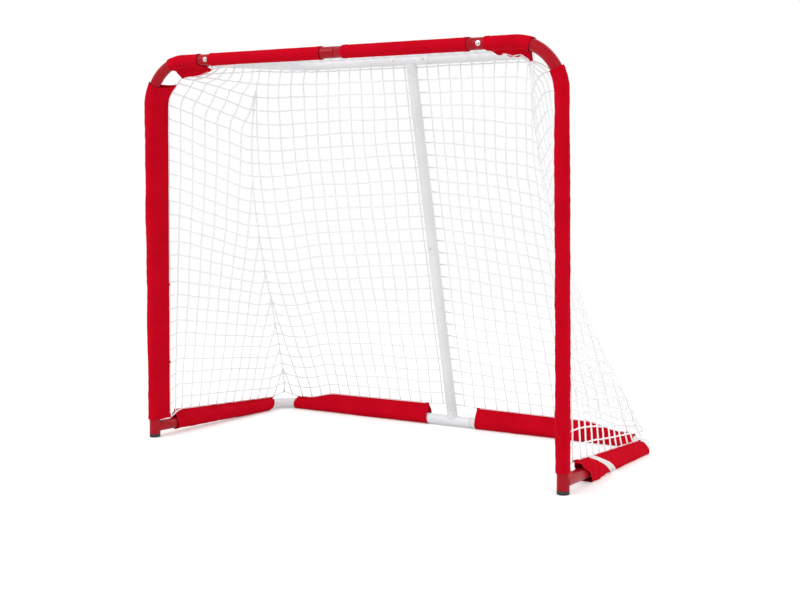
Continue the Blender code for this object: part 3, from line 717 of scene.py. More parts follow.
upper = Line(SHELF_MIDDLE + DOWN * (TEE_BRANCH + FIT), SPLIT)
lower = Line(SPLIT + DOWN * FIT, BASE_MIDDLE - DOWN * (TEE_BRANCH + FIT))
halves = (("upper", upper, (BRANCH_INSERT, 0), "top"), ("lower", lower, (INSERT, BRANCH_INSERT), "foot"))
for level, post, necks, hole in halves:
    holes = ("rear_post_" + hole, "rear_post_middle")
    fitted(level + "_rear_pipe", level + "_rear_post", WHITE_STEEL, post, (0, post.length), necks, holes)
print("rear post", round(upper.length + lower.length, 3), "m")

# %% [markdown]
# ## Foot plugs
# A black plug is pushed into the foot of each post, so that the steel doesn't scratch the ground.
# It is turned: a disc whose rim is rounded, then a hollow spigot with two ribs that grip the tube.
# The outline is extruded ring by ring from the bottom disc.

# %% Foot plugs
PLUG_ROUND = 0.0003
PLUG_EDGE = 0.0004
PLUG_RIBS = (0.30, 0.65)


def foot_plug(side):
    rib = BORE - FIT
    body = rib - 2 * FIT
    top = PLUG_FLANGE + PLUG_DEPTH
    rings = [
        (R - 3 * PLUG_ROUND, 0.0), (R - PLUG_ROUND, PLUG_ROUND), (R, 3 * PLUG_ROUND),
        (R, PLUG_FLANGE - PLUG_EDGE), (R - PLUG_EDGE, PLUG_FLANGE), (rib, PLUG_FLANGE),
    ]
    for share in PLUG_RIBS:
        middle = PLUG_FLANGE + PLUG_DEPTH * share
        rings += [(body, middle - WALL), (rib, middle), (body, middle + WALL)]
    rings += [(body, top), (body - PLUG_WALL, top), (body - PLUG_WALL, PLUG_WALL)]
    foot = Vector((SIGN[side] * POST_X, FRONT_Y, 0))
    deselect()
    bpy.ops.mesh.primitive_circle_add(
        vertices=TUBE_SIDES, radius=rings[0][0], fill_type="NGON", location=foot
    )
    made = settle(bpy.context.object, side + "_foot_cap")
    edit(made)
    raised(rings, foot.xy)
    return tidy_faces(made, 35)


for side in SIGN:
    plug = dressed(foot_plug(side), PLASTIC, "frame", side + "_foot_plug")
    print(plug.name, len(plug.data.polygons), "faces")

# %% [markdown]
# ## Cloth sleeves
# A sleeve is a flat strip of polyester, rolled round the tube. Its two long edges are sewn together
# behind the tube, over the edge cord of the net, and that leaves a fin. The strip is a grid as long
# as the sleeve and as wide as the cloth. Each point of the grid is rolled to its place, and then
# moved off the tube by soft folds, the hem at each end and the bulge over the cord. Real cloth lies
# slack like this, and a straight roll would look like plastic. The UV map keeps the flat cloth's
# own lengths, so that the weave stays even.

# %% A strip, rolled
CLOTH = 0.0008
SEAM = 0.007
LOOSE = 0.0006
EDGE_CORD = 0.0016


def smooth_step(x):
    x = min(max(x, 0.0), 1.0)
    return x * x * (3 - 2 * x)


def rolled(distance, reach, radius, seam=SEAM):
    """A point of the rolled strip, a distance round it from one sewn edge: its place towards the
    fin and beside it, and the way that the cloth faces. seam is the width of the flat fin."""
    pocket = reach - seam
    lean = math.acos(radius / pocket)
    flat = math.sqrt(pocket**2 - radius**2)
    turn = 2 * math.pi - 2 * lean
    total = 2 * (seam + flat) + radius * turn
    mirrored = distance > total / 2
    d = total - distance if mirrored else distance
    if d < seam:
        bulge = (CORD / 2) * math.exp(-(((d - EDGE_CORD) / EDGE_CORD) ** 2))
        place = (reach - d, CLOTH * 0.4 + bulge)
        facing = (0.0, 1.0)
    elif d < seam + flat:
        share = (d - seam) / flat
        toward = pocket + (radius * math.cos(lean) - pocket) * share
        place = (toward, CLOTH * 0.4 * (1 - share) + radius * math.sin(lean) * share)
        facing = (math.cos(lean), math.sin(lean))
    else:
        angle = lean + (d - seam - flat) / radius
        place = (radius * math.cos(angle), radius * math.sin(angle))
        facing = (math.cos(angle), math.sin(angle))
    sign = -1 if mirrored else 1
    return (place[0], place[1] * sign), (facing[0], facing[1] * sign), total


def outward_volume(made):
    """The volume of a closed mesh. It is less than nothing where the faces point inwards."""
    shape = bmesh.new()
    shape.from_mesh(made.data)
    volume = shape.calc_volume(signed=True)
    shape.free()
    return volume


def laid_cloth(name, steps, place, thickness):
    """A grid whose points are laid by place, which is given shares of the two sides and gives a
    point and its lengths on the flat cloth. The UV map keeps the lengths."""
    deselect()
    bpy.ops.mesh.primitive_grid_add(x_subdivisions=steps[0], y_subdivisions=steps[1], size=1)
    made = named(bpy.context.object, name)
    flat = []
    for vertex in made.data.vertices:
        vertex.co, lengths = place(vertex.co.x + 0.5, vertex.co.y + 0.5)
        flat.append(lengths)
    for loop, uv in zip(made.data.loops, made.data.uv_layers[0].data):
        uv.uv = flat[loop.vertex_index]
    modified(made, "SOLIDIFY", thickness=thickness, offset=1)
    if outward_volume(made) < 0:
        edit(made)
        bpy.ops.mesh.flip_normals()
    return smooth(made, 50)


trial = rolled(0.0, 0.045, R + FIT + LOOSE)
print("a sleeve that reaches 45 mm is", round(trial[2] * 1000), "mm of cloth")

# %% [markdown]
# The strip needs more than its roll. A class holds what is given for one sleeve, and finds any
# point of it from a share of its length and a share of its width. The cloth, the stitches and the
# line to which the net is sewn are all read from that one function, so they fit each other.

# %% One sleeve
ALONG_STEP = 0.0045
ROUND_STEPS = 46
EDGE_STEPS = 40
HEM = 0.012
HEM_PLY = 0.0006
HEM_SLOPE = 0.0012
FLOOR_GAP = 0.0012
END_WANDER = 0.0022
NEAR_SEAM = 0.008
LONG_FOLD = Vector((5.5, 55, 3))  # how often a fold comes along the tube and round it, and its slant
SHORT_FOLD = Vector((34, 40, -20))
FOLD_SHARES = (0.55, 0.9, 0.45)  # what is even, in long folds and in short folds
FLUTTER = 16
STITCH = (0.0015, 0.00045, 0.0003)
STITCH_PITCH = 0.0044
SEAM_STITCH = 0.0042


class Sleeve:
    """A strip rolled round a route.
    plane is the normal of the route's plane and out the way that the fin lies, at the first end.
    reach gives the fin's distance from the axis, and folds their depth, at a share of the length.
    slant moves each end of the fin further along, and the rest of the cloth less, by the power bias
    of its place between the far side and the fin. flap is how far the fin waves to and fro, fall
    how far the slack cloth hangs below the tube, and pocket, where it is given, how far from the
    axis the two layers meet."""

    def __init__(
        self, route, ends, plane, out, reach, folds, slant=(0.0, 0.0), seed=0.0, finer=1.0, flap=0.0015,
        pocket=None, bias=3.0, fall=0.0,
    ):
        self.route, self.ends, self.plane, self.reach, self.folds = route, ends, plane, reach, folds
        self.slant, self.seed, self.finer, self.flap, self.pocket = slant, seed, finer, flap, pocket
        self.bias, self.fall, self.length = bias, fall, ends[1] - ends[0]
        self.widest = max(self.width_at(i / 10) for i in range(11))
        across = route.at(ends[0])[1].cross(plane).normalized()
        self.turn = math.atan2(out.dot(plane), out.dot(across))

    def roll(self, share, t):
        """The rolled point at a share of the length and of the width, and the width of the fin."""
        far = self.reach(share)
        seam = far - self.pocket if self.pocket else SEAM
        total = rolled(0.0, far, R + FIT + LOOSE, seam)[2]
        return rolled(t * total, far, R + FIT + LOOSE, seam), seam

    def width_at(self, share):
        return self.roll(share, 0.0)[0][2]

    def slanted(self, end, toward, share):
        """How far along an end of the cloth is moved, at a place towards the fin."""
        return self.slant[end] * max((toward + R) / (self.reach(share) + R), 0.0) ** self.bias

    def at(self, share, t, proud=0.0):
        """The point at a share of the length and a share t of the width, and its lengths on the flat
        cloth. proud lifts it off the cloth's inner side."""
        seed = self.seed
        ((a, b), (fa, fb), total), seam = self.roll(share, t)
        d = t * total
        start, end = (
            self.ends[i] + self.slanted(i, a, share) + END_WANDER * noise.noise(Vector((t * 7, seed, level)))
            for i, level in enumerate((1.7, 9.1))
        )
        s = start + (end - start) * share
        point, along = self.route.at(s)
        side_way = along.cross(self.plane).normalized()
        one = side_way * math.cos(self.turn) + self.plane * math.sin(self.turn)
        two = side_way * -math.sin(self.turn) + self.plane * math.cos(self.turn)
        inward = smooth_step((min(d, total - d) - seam) / NEAR_SEAM)
        long_fold, short_fold = (
            noise.noise(Vector((s * fold.x * self.finer, d * fold.y + s * fold.z, seed + more)))
            for fold, more in ((LONG_FOLD, 0), (SHORT_FOLD, 5))
        )
        even, long_share, short_share = FOLD_SHARES
        depth = max(even + long_fold * long_share + short_fold * short_share, 0.0)
        lift = self.folds(share) * inward * depth
        lift += HEM_PLY * smooth_step((HEM - min(s - start, end - s)) / HEM_SLOPE + 0.5) + proud
        loose_end = smooth_step((a - R) / (self.reach(share) - R))
        flutter = loose_end * self.flap * noise.noise(Vector((s * FLUTTER * self.finer, seed, 3.3)))
        place = point + one * (a + fa * lift) + two * (b + fb * lift + flutter)
        place.z -= self.fall * smooth_step(0.5 - a / (2 * R))
        place.z = max(place.z, CLOTH + FLOOR_GAP - proud)
        return place, (s, d)

    def cloth(self, name):
        return laid_cloth(name, (max(int(self.length / ALONG_STEP), 8), ROUND_STEPS), self.at, CLOTH)

    def edge(self):
        """The line along the fin, just inside its sewn edge, for the net to be sewn to."""
        line = []
        for share in (i / EDGE_STEPS for i in range(EDGE_STEPS + 1)):
            inside = EDGE_CORD / self.width_at(share)
            line.append(self.at(share, inside)[0].lerp(self.at(share, 1 - inside)[0], 0.5))
        return line

    def stitch_at(self, share, t, share_step, t_step):
        """A stitch's middle, the way that it lies and the way that it faces."""
        proud = CLOTH * 1.1
        middle = self.at(share, t, proud)[0]
        one, two = (self.at(share + way * share_step, t + way * t_step, proud)[0] for way in (-1, 1))
        return middle, two - one, middle - self.at(share, t)[0]

    def sewn(self):
        """The stitches along the fin on both sides, and round each end on the hem."""
        total = self.width_at(0.5)
        inset = HEM * 0.8 / self.length
        along, across = int(self.length / STITCH_PITCH), int(total / STITCH_PITCH)
        seams = [
            self.stitch_at((k + 0.5) / along, t, 0.3 / along, 0.0)
            for t in (SEAM_STITCH / total, 1 - SEAM_STITCH / total) for k in range(along)
        ]
        hems = [
            self.stitch_at(share, (k + 0.5) / across, 0.0, 0.3 / across)
            for share in (inset, 1 - inset) for k in range(across)
        ]
        return seams + hems


print("folds come", LONG_FOLD.x, "to the metre, and short ones", SHORT_FOLD.x)

# %% [markdown]
# A stitch is a short, flat lump of thread. One sphere of twenty faces is enough for it, and for a
# knot of the net, because there are thousands of them. It is modelled once, and each copy is turned
# along its seam. Real stitches are 2 mm long; these are drawn a little larger, so that they show.

# %% Stitches and other small lumps
def strewn(name, size, frames):
    """A copy of one small lump in each frame: its middle, the way it lies and the way it faces."""
    deselect()
    bpy.ops.mesh.primitive_ico_sphere_add(subdivisions=1, radius=1)
    lump = bpy.context.object
    points = [Vector((v.co.x * size[0], v.co.y * size[1], v.co.z * size[2])) for v in lump.data.vertices]
    faces = [tuple(p.vertices) for p in lump.data.polygons]
    bpy.data.objects.remove(lump)
    placed = []
    for middle, along, outward in frames:
        one = along.normalized()
        two = outward.cross(one).normalized()
        three = one.cross(two)
        placed += [middle + one * p.x + two * p.y + three * p.z for p in points]
    count = len(points)
    mesh = bpy.data.meshes.new(name)
    all_faces = [tuple(i + count * k for i in face) for k in range(len(frames)) for face in faces]
    mesh.from_pydata(placed, [], all_faces)
    mesh.shade_smooth()
    made = bpy.data.objects.new(name, mesh)
    bpy.context.scene.collection.objects.link(made)
    return made


print("a stitch is", STITCH[0] * 2000, "mm long")


# %% [markdown]
# ### Ten sleeves
# The post sleeves reach from the foot round the first third of the corner. Their fins point back
# and in, towards the net. The corner sleeves are tight round the bar, with a loose flap below it: on
# the left it is cut to a point, and on the right it hangs in waves. The base sleeves lie slack, and
# the right one is crumpled and runs out on a slant where it ends near the post.

# %% Sizes of the sleeves
POST_REACH = (0.048, 0.055)
POST_TAB = 0.006
POST_TURN = math.radians(33)
POST_FOOT = 0.053
BAR_REACH = 0.045
BAR_RISE = math.asin((NET_Z - BAR_Z) / BAR_REACH)
CORNER_DROP = math.radians(58)
POST_SHOWN = {"left": 30 / 90, "right": 27 / 90}
CORNER_SHOWN = 22 / 90
CORNER_POCKET = 0.0215
CORNER_END = {"left": 0.478, "right": 0.460}
CORNER_SLANT = {"left": (-0.030, -0.006), "right": (0.024, 0.004)}
CORNER_FLAP = {"left": 0.003, "right": 0.007}
BAR_ENDS = {"left": (0.436, 0.046), "right": (0.410, 0.027)}
BASE_ENDS = {"left": (0.082, 0.506), "right": (0.146, 0.540)}
BASE_SLANT = {"left": (-0.004, 0.026), "right": (-0.084, -0.036)}
BASE_REACH = (0.041, 0.0242)
BASE_FALL = {"left": 0.001, "right": 0.007}
REAR_ENDS = (0.085, 0.598)
REAR_REACH = 0.048
REAR_LEAST = 0.0245
STRAP_PLACE = 0.256
POST_SLANT = (0.0, 0.034)
REAR_SLANT = (0.0, -0.004)
SEEDS = {"post": 3.1, "corner": 5.7, "crossbar": 7.3, "base": 11.9, "rear": 13.1}  # of the folds


def sized(first, last):
    """A size that changes evenly along a sleeve."""
    return lambda share: first + (last - first) * share


def post_reach(share):
    """The fin of a post sleeve, which widens to a small tab at its top."""
    return sized(*POST_REACH)(share) + POST_TAB * smooth_step((share - 0.966) / 0.008)


def post_folds(share):
    """A post sleeve lies a little flatter at its foot."""
    return 0.0024 - 0.0004 * smooth_step((0.08 - share) / 0.08)


def corner_reach(side):
    """The fin of a corner sleeve, from the bar to the bend: shallow at first, and deep at the bend."""
    if side == "left":
        return lambda share: 0.034 + 0.016 * share + 0.011 * math.sin(math.pi * share)

    def waved(share):
        left = 1 - share
        return 0.035 + 0.012 * share + 0.003 * math.sin(left * 13) + 0.002 * math.sin(left * 29)

    return waved


def base_folds(side):
    """The left base sleeve is even. The right one is crumpled in front, and drawn in by its strap."""
    if side == "left":
        return lambda share: 0.0020
    first, last = BASE_ENDS["right"]
    strapped = (STRAP_PLACE - first) / (last - first)

    def crumpled(share):
        drawn_in = 0.8 * math.exp(-(((share - strapped) / 0.05) ** 2))
        return (0.0018 + 0.0050 * smooth_step((0.40 - share) / 0.30)) * (1 - drawn_in)

    return crumpled


def rear_reach(share):
    """The fin of a rear sleeve is deep in the middle of the bar, and gone at the corner."""
    return REAR_LEAST + (REAR_REACH - REAR_LEAST) * (1 - 0.2 * share) * smooth_step((0.92 - share) / 0.22)


print("fins reach", POST_REACH, "on the posts and", BAR_REACH, "on the crossbar")

# %% Ten sleeves
SLEEVES = {}
for side, x in SIGN.items():
    route = FRONT[side]
    out = Vector((-x * math.sin(POST_TURN), math.cos(POST_TURN), 0))
    top = route.one + route.bend * POST_SHOWN[side]
    SLEEVES[side + "_post"] = Sleeve(
        route, (POST_FOOT, top), BACK, out, post_reach, post_folds, POST_SLANT, x * SEEDS["post"], 1.5
    )

    back_route = Route(route.end, route.corner, route.start, CORNER_BEND)
    out = Vector((0, math.cos(CORNER_DROP), -math.sin(CORNER_DROP)))
    ends = (CORNER_END[side], back_route.length - route.one - route.bend * (1 - CORNER_SHOWN))
    SLEEVES[side + "_corner"] = Sleeve(
        back_route, ends, BACK, out, corner_reach(side), sized(0.0005, 0.0007), CORNER_SLANT[side],
        x * SEEDS["corner"], flap=CORNER_FLAP[side], pocket=CORNER_POCKET,
    )
    bar = Line(*(Vector((x * b, FRONT_Y, BAR_Z)) for b in BAR_ENDS[side]))
    out = Vector((0, math.cos(BAR_RISE), math.sin(BAR_RISE)))
    SLEEVES[side + "_crossbar"] = Sleeve(
        bar, (0, bar.length), BACK, out, sized(BAR_REACH, BAR_REACH), sized(0.0007, 0.0007),
        seed=x * SEEDS["crossbar"],
    )
    up = RIGHT.cross(BASE[side].first).normalized()
    SLEEVES[side + "_base"] = Sleeve(
        BASE[side], BASE_ENDS[side], up, up, sized(*BASE_REACH), base_folds(side), BASE_SLANT[side],
        x * SEEDS["base"], 1.6, bias=1.0, fall=BASE_FALL[side],
    )
    rear = Line(*(Vector((x * r, REAR_Y, REAR_Z)) for r in REAR_ENDS))
    SLEEVES[side + "_rear"] = Sleeve(
        rear, (0, rear.length), UP, UP, rear_reach, sized(0.0018, 0.0022), REAR_SLANT, x * SEEDS["rear"]
    )

CARRIED_BY = {"post": "corner", "corner": "corner", "crossbar": "crossbar", "base": "base", "rear": "base"}
for key, strip in SLEEVES.items():
    side, place = key.split("_")
    cloth = dressed(strip.cloth(key + "_cloth"), RED_CLOTH, "frame", key + "_sleeve")
    stitches = dressed(strewn(key + "_stitches", STITCH, strip.sewn()), THREAD, "frame")
    pipe = f"{side}_{CARRIED_BY[place]}_pipe"
    flat = (strip.widest, strip.length)
    print(cloth.name, "cut", [round(s, 3) for s in flat], "faces", len(cloth.data.polygons))

# %% [markdown]
# ## The net
# The net is square mesh of braided polyester cord, 38 mm from knot to knot. Its edge cords are sewn
# into the sleeves. It folds at the back of each side, where it hangs from the shelf arm, and passes
# behind the rear post. Its rows run from post to post at the same level. Its columns hang down, a
# mesh apart, and those that reach a fold end there. So each line of the net is a curve over the
# surface that the net is stretched on, and a round bevel makes it a cord. On the right, the rows
# have slid a mesh down the fold and two down the post, so they droop there.

# %% The surface that the net is stretched on
FOLD_SEAT = 0.68
FOLD_INWARDS = 0.028
FOLD_FORWARDS = 0.118
FOLD_STEPS = 40
SHELF_STEPS = 30
MESH = 0.0385
ROWS = 29
ROWS_SLID_FOLD = {"left": 0.0, "right": 0.038}
ROWS_SLID_POST = {"left": 0.0, "right": 0.075}


def length_of(line):
    return sum((two - one).length for one, two in zip(line, line[1:]))


def along_line(line, share):
    """The point a share of the way along a line of points, by length."""
    left = min(max(share, 0.0), 1.0) * length_of(line)
    for i, (one, two) in enumerate(zip(line, line[1:])):
        length = (two - one).length
        if left <= length or i == len(line) - 2:
            return one.lerp(two, left / length)
        left -= length


def patch(bottom, top, first, last, slid_first=0.0, slid_last=0.0):
    """A surface between four lines. bottom and top run from first to last, which run upwards.
    slid_first and slid_last say how far, as a share of the line, the rows have slid down it. They
    are held at the top, and at the foot of the line too."""

    def surface(u, v):
        flat = bottom[0].lerp(bottom[-1], u).lerp(top[0].lerp(top[-1], u), v)
        across = along_line(bottom, u).lerp(along_line(top, u), v)
        one, two = along_line(first, v), along_line(last, v)
        hung = smooth_step((1 - v) / 0.2)
        slid_one = along_line(first, v - slid_first * hung * smooth_step((v - 0.10) / 0.3)) - one
        slid_two = along_line(last, v - slid_last * hung * smooth_step(v / 0.07)) - two
        return across + one.lerp(two, u) - flat + slid_one * (1 - u) ** 2 + slid_two * u**2

    return surface


def shelf_line(side, offset):
    """The shelf's outline at the height of the net, from where the fold starts to the middle."""
    route = SHELF[side]
    first = (route.corner - route.start).length * FOLD_SEAT
    line = []
    for i in range(SHELF_STEPS + 1):
        point, along = route.at(first + (route.length - first) * i / SHELF_STEPS)
        out = along.cross(UP).normalized()
        if out.dot(point - BAR_MIDDLE) < 0:
            out = -out
        line.append(point + out * offset + UP * (NET_Z - BAR_Z))
    return line


def fold_line(side):
    """Where the net turns from the side to the back, from the ground up. It is drawn in and forwards
    between its two ends."""
    x = SIGN[side]
    low = Vector((x * (BASE_HALF - BASE_BEND / 4), REAR_Y - BASE_BEND * 0.4, REAR_Z + R + NET_OFFSET))
    high = shelf_line(side, NET_OFFSET)[0]
    line = []
    for share in (i / FOLD_STEPS for i in range(FOLD_STEPS + 1)):
        inwards = FOLD_INWARDS * math.sin(math.pi * share**0.75)
        forwards = FOLD_FORWARDS * math.sin(math.pi * share**1.4) ** 0.8 if 0 < share < 1 else 0
        line.append(low.lerp(high, share) - Vector((x * inwards, forwards, 0)))
    return line


def post_back():
    """The line down the back of the rear post that the net hangs over, from the ground up."""
    out = BACK * (NET_OFFSET / -DOWN.z)
    height = REAR_Z + REAR_REACH
    low = BASE_MIDDLE - DOWN * ((height - BASE_MIDDLE.z) / -DOWN.z)
    return [low + out, SHELF_MIDDLE + BACK * NET_OFFSET + UP * (NET_Z - BAR_Z)]


def side_surface(side):
    """From the post's sleeve, at u 0, to the fold, at u 1."""
    front = SLEEVES[side + "_post"].edge() + SLEEVES[side + "_corner"].edge()[::-1]
    fold = fold_line(side)
    low = [front[0], *SLEEVES[side + "_base"].edge()[2:], fold[0]]
    return patch(low, [front[-1], fold[-1]], front, fold, ROWS_SLID_POST[side], ROWS_SLID_FOLD[side])


def back_surface(side):
    """From the rear post, at u 0, to the fold, at u 1."""
    fold, centre = fold_line(side), post_back()
    low = [centre[0], *SLEEVES[side + "_rear"].edge(), fold[0]]
    high = [centre[-1], *shelf_line(side, NET_OFFSET)[::-1][1:-1], fold[-1]]
    return patch(low, high, centre, fold, slid_last=ROWS_SLID_FOLD[side])


print("fold is", round(length_of(fold_line("left")), 3), "m long")

# %% [markdown]
# A line over the surface is sampled twice in each mesh and then given the slack of real netting:
# a smooth drift of a few millimetres that fades out at the sewn edges, and a small sag of every
# row between two knots. Rows and columns use the same drift, so they still meet at their knots.
# Vector noise is drawn anew by the clock each time that Blender starts, unless it is given a seed,
# so it gets one here, and the net comes out the same every time.

# %% Rows and columns
SAMPLES = 60
DRIFT = 0.0045
SLOW_DRIFT = 7
QUICK_DRIFT = 19
QUICK_SHARE = 0.45
DRIFT_MARGIN = 2.2 * MESH
DRIFT_SHIFT = 4.2
DRIFT_SEED = 1795687804
SAG = 0.0014

noise.seed_set(DRIFT_SEED)


class Panel:
    """A panel of net on a surface, with its rows and columns as lists of points."""

    def __init__(self, surface, rows, drift=DRIFT):
        self.surface, self.rows, self.drift = surface, rows, drift
        self.lengths = {}
        self.knots = []

    def row_line(self, v):
        """The row's line over the surface, and its length. Both are kept, as they are used often."""
        key = round(v, 6)
        if key not in self.lengths:
            line = [self.surface(i / SAMPLES, v) for i in range(SAMPLES + 1)]
            self.lengths[key] = (line, length_of(line))
        return self.lengths[key]

    def at(self, distance, v, sag=0.0):
        """The point a distance along the row at height v."""
        line, total = self.row_line(v)
        point = along_line(line, distance / total)
        edge = min(distance, total - distance, v * self.rows * MESH, (1 - v) * self.rows * MESH)
        drift = noise.noise_vector(point * SLOW_DRIFT + Vector((0, 0, DRIFT_SHIFT)))
        drift += noise.noise_vector(point * QUICK_DRIFT + Vector((DRIFT_SHIFT, 0, 0))) * QUICK_SHARE
        return point + drift * (smooth_step(edge / DRIFT_MARGIN) * self.drift) - UP * sag

    def ends(self, steps):
        """The line through the last points of the rows."""
        return [self.at(self.row_line(j / steps)[1], j / steps) for j in range(steps + 1)]

    def mean_width(self):
        return sum(self.row_line(j / 10)[1] for j in range(11)) / 11

    def row(self, i):
        """Row i, with its knots every mesh and a point between them that sags."""
        v = i / self.rows
        total = self.row_line(v)[1]
        inner = 0 < i < self.rows
        points = []
        count = int(total / MESH)
        for k in range(count + 1):
            points.append(self.at(k * MESH, v))
            if inner and 0 < k:
                self.knots.append(points[-1])
            middle = (k + 0.5) * MESH
            if middle < total:
                points.append(self.at(middle, v, SAG if inner else 0.0))
        if total - count * MESH > 0.25 * MESH:
            points.append(self.at(total, v))
        else:
            points[-1] = self.at(total, v)
        return points

    def column(self, k):
        """Column k, as one or more stretches: it is left out where the row is too short for it."""
        stretches, points, after = [], [], None
        for v in (j / (2 * self.rows) for j in range(2 * self.rows + 1)):
            total = self.row_line(v)[1]
            if k * MESH <= total - 0.1 * MESH:
                if not points and after is not None:
                    points.append(after)
                points.append(self.at(k * MESH, v))
            else:
                after = self.at(total, v)
                if points:
                    stretches.append(points + [after])
                points = []
        return [s for s in stretches + [points] if len(s) > 1]

    def cords(self):
        """All the rows, and then all the columns."""
        longest = max(self.row_line(j / 20)[1] for j in range(21))
        columns = [s for k in range(int(longest / MESH) + 1) for s in self.column(k)]
        return [self.row(i) for i in range(self.rows + 1)] + columns


print("mesh", MESH * 1000, "mm,", ROWS, "rows")

# %% [markdown]
# Each side is one panel, the back is two that share the row ends at the rear post, and a small
# panel lies over the shelf. The rows of a side and of the back have the same levels, so they meet
# at the fold, where the side has a cord down it. A net's area of cloth is half the surface of its
# cords, as cloth is measured on one face.

# %% Side, back and top nets
NET_CORD_RADIUS = 0.0021
KNOT = 0.0031
TOP_ROWS = 9
TOP_DRIFT = DRIFT * 0.3
FIN_EDGE = 0.0016


def net_piece(name, lines, places, node):
    """One net: its cords, and a lump at each knot, a little flat against the net."""
    made = round_cords(name, lines, NET_CORD_RADIUS, 1)
    edit(made)
    bpy.ops.mesh.remove_doubles(threshold=1e-6)
    leave_edit()
    made.data.shade_smooth()
    knots = strewn(name + "_knots", (KNOT, KNOT * 0.8, KNOT), [(place, UP, BACK) for place in places])
    dressed(joined(name, made, knots), NET_CORD, "frame", node)
    cover = sum(length_of(line) for line in lines) * math.pi * NET_CORD_RADIUS
    print(made.name, "cords", len(lines), "knots", len(places), "faces", len(made.data.polygons))


back_lines, back_knots, back_width = [], [], 0.0
for side in SIGN:
    panel = Panel(side_surface(side), ROWS)
    lines = panel.cords() + [panel.ends(2 * ROWS)]
    flat = (panel.mean_width(), length_of([panel.surface(0.5, j / 40) for j in range(41)]))
    net_piece(side + "_side_netting", lines, panel.knots, side + "_side_net")

    panel = Panel(back_surface(side), ROWS)
    back_lines += panel.cords()
    back_knots += panel.knots
    back_width += panel.mean_width()
flat = (back_width, length_of(post_back()))
net_piece("back_netting", back_lines, back_knots, "back_net")

reach = BAR_REACH * math.cos(BAR_RISE) - FIN_EDGE
shelf = SHELF["right"]
corner_x = shelf.at((reach + FIT + CORD / 2) / shelf.first.y)[0].x
rear_edge = shelf_line("left", R + FIT) + shelf_line("right", R + FIT)[-2::-1]
front_edge = [Vector((x * corner_x, FRONT_Y + reach, NET_Z)) for x in SIGN.values()]
over = patch(front_edge, rear_edge, [front_edge[0], rear_edge[0]], [front_edge[-1], rear_edge[-1]])
panel = Panel(over, TOP_ROWS, TOP_DRIFT)
lines = panel.cords() + [panel.ends(2 * TOP_ROWS)]
flat = (length_of(front_edge), (over(0.5, 1) - over(0.5, 0)).length)
net_piece("top_netting", lines, panel.knots, "top_net")

# %% [markdown]
# ## The strap
# A white strap gathers the slack of the right base sleeve. It is webbing 14 mm wide, wound on a
# slant, sewn to the edge of the fin and closed with a small snap. It follows the sleeve's own
# surface, a thickness above it, so it dips into every fold as real webbing does.

# %% Strap
STRAP_WIDTH = 0.014
STRAP_SLANT = 2.4
STRAP_THICK = 0.0009
STRAP_LIFT = CLOTH + 0.0003
STRAP_STEPS = (6, 110)
STRAP_SHARE = 0.3  # of the sleeve's length, where its section is read for the strap


def strap_point(w, t):
    """A point of the strap's inner side, from w -1 to 1 across it and t 0 to 1 round the sleeve."""
    strip = SLEEVES["right_base"]
    (toward, _), _, total = strip.roll(STRAP_SHARE, t)[0]
    half = STRAP_WIDTH / 2 * math.hypot(1, STRAP_SLANT)
    along = STRAP_PLACE + w * half - toward * STRAP_SLANT - strip.ends[0]
    moved = strip.slanted(0, toward, STRAP_SHARE)
    share = (along - moved) / (strip.length - moved)
    return strip.at(share, t, STRAP_LIFT)[0], t * total


def strap_place(x, t):
    w = 2 * x - 1
    place, round_way = strap_point(w, t)
    return place, (w * STRAP_WIDTH / 2, round_way)


webbing = laid_cloth("base_webbing", STRAP_STEPS, strap_place, STRAP_THICK)
dressed(webbing, WEBBING, "frame", "base_strap")
round_sleeve = length_of([strap_point(0, i / 60)[0] for i in range(61)])
print("strap", round(round_sleeve, 3), "m long, outward", outward_volume(webbing) > 0)

# %% [markdown]
# ## Eyelets and the snap
# The holes of the crossbar's two side joints have a bright pressed ring. Such an eyelet is a flat
# ring that lies on the round tube: a torus is squashed, and each of its points drops with the tube's
# curve. The snap of the strap is a shallow cap with a rolled rim and a dimple.

# %% Eyelets and the snap
EYELET = 0.0054
EYELET_RIM = 0.0020
EYELET_FLAT = 0.55
SNAP_RADIUS = 0.0042
SNAP_HEIGHT = 0.0016
SNAP_RINGS = ((0.0005, 0.0004), (0.0007, 0.0001), (0.0005, -0.0005), (0.0010, -0.0002))


def eyelet(name):
    """The ring round a crossbar button. The crossbar runs along X, and the button faces the front."""
    centre, facing = JOINTS[name]
    deselect()
    bpy.ops.mesh.primitive_torus_add(
        major_radius=EYELET, minor_radius=EYELET_RIM, major_segments=36, minor_segments=12
    )
    made = bpy.context.object
    for vertex in made.data.vertices:
        vertex.co.z = vertex.co.z * EYELET_FLAT + math.sqrt(R * R - vertex.co.y**2)
    across = facing.cross(RIGHT)
    made.matrix_world = Matrix.Translation(centre) @ Matrix((RIGHT, across, facing)).transposed().to_4x4()
    return tidy_faces(settle(made, "eyelet_" + name), 60)


def snap_cap(place, facing):
    """A round cap on the strap, from its foot up."""
    made = disc(28, SNAP_RADIUS, SNAP_HEIGHT, 0)
    for inset, lift in SNAP_RINGS:
        bpy.ops.mesh.inset(thickness=inset)
        bpy.ops.transform.translate(value=(0, 0, lift))
    return tidy_faces(stood(made, place, facing, "snap_cap"), 35)


for name in ("crossbar_left", "crossbar_right"):
    ring = dressed(eyelet(name), NICKEL, "frame")
    print(ring.name, "outward", outward_volume(ring) > 0)

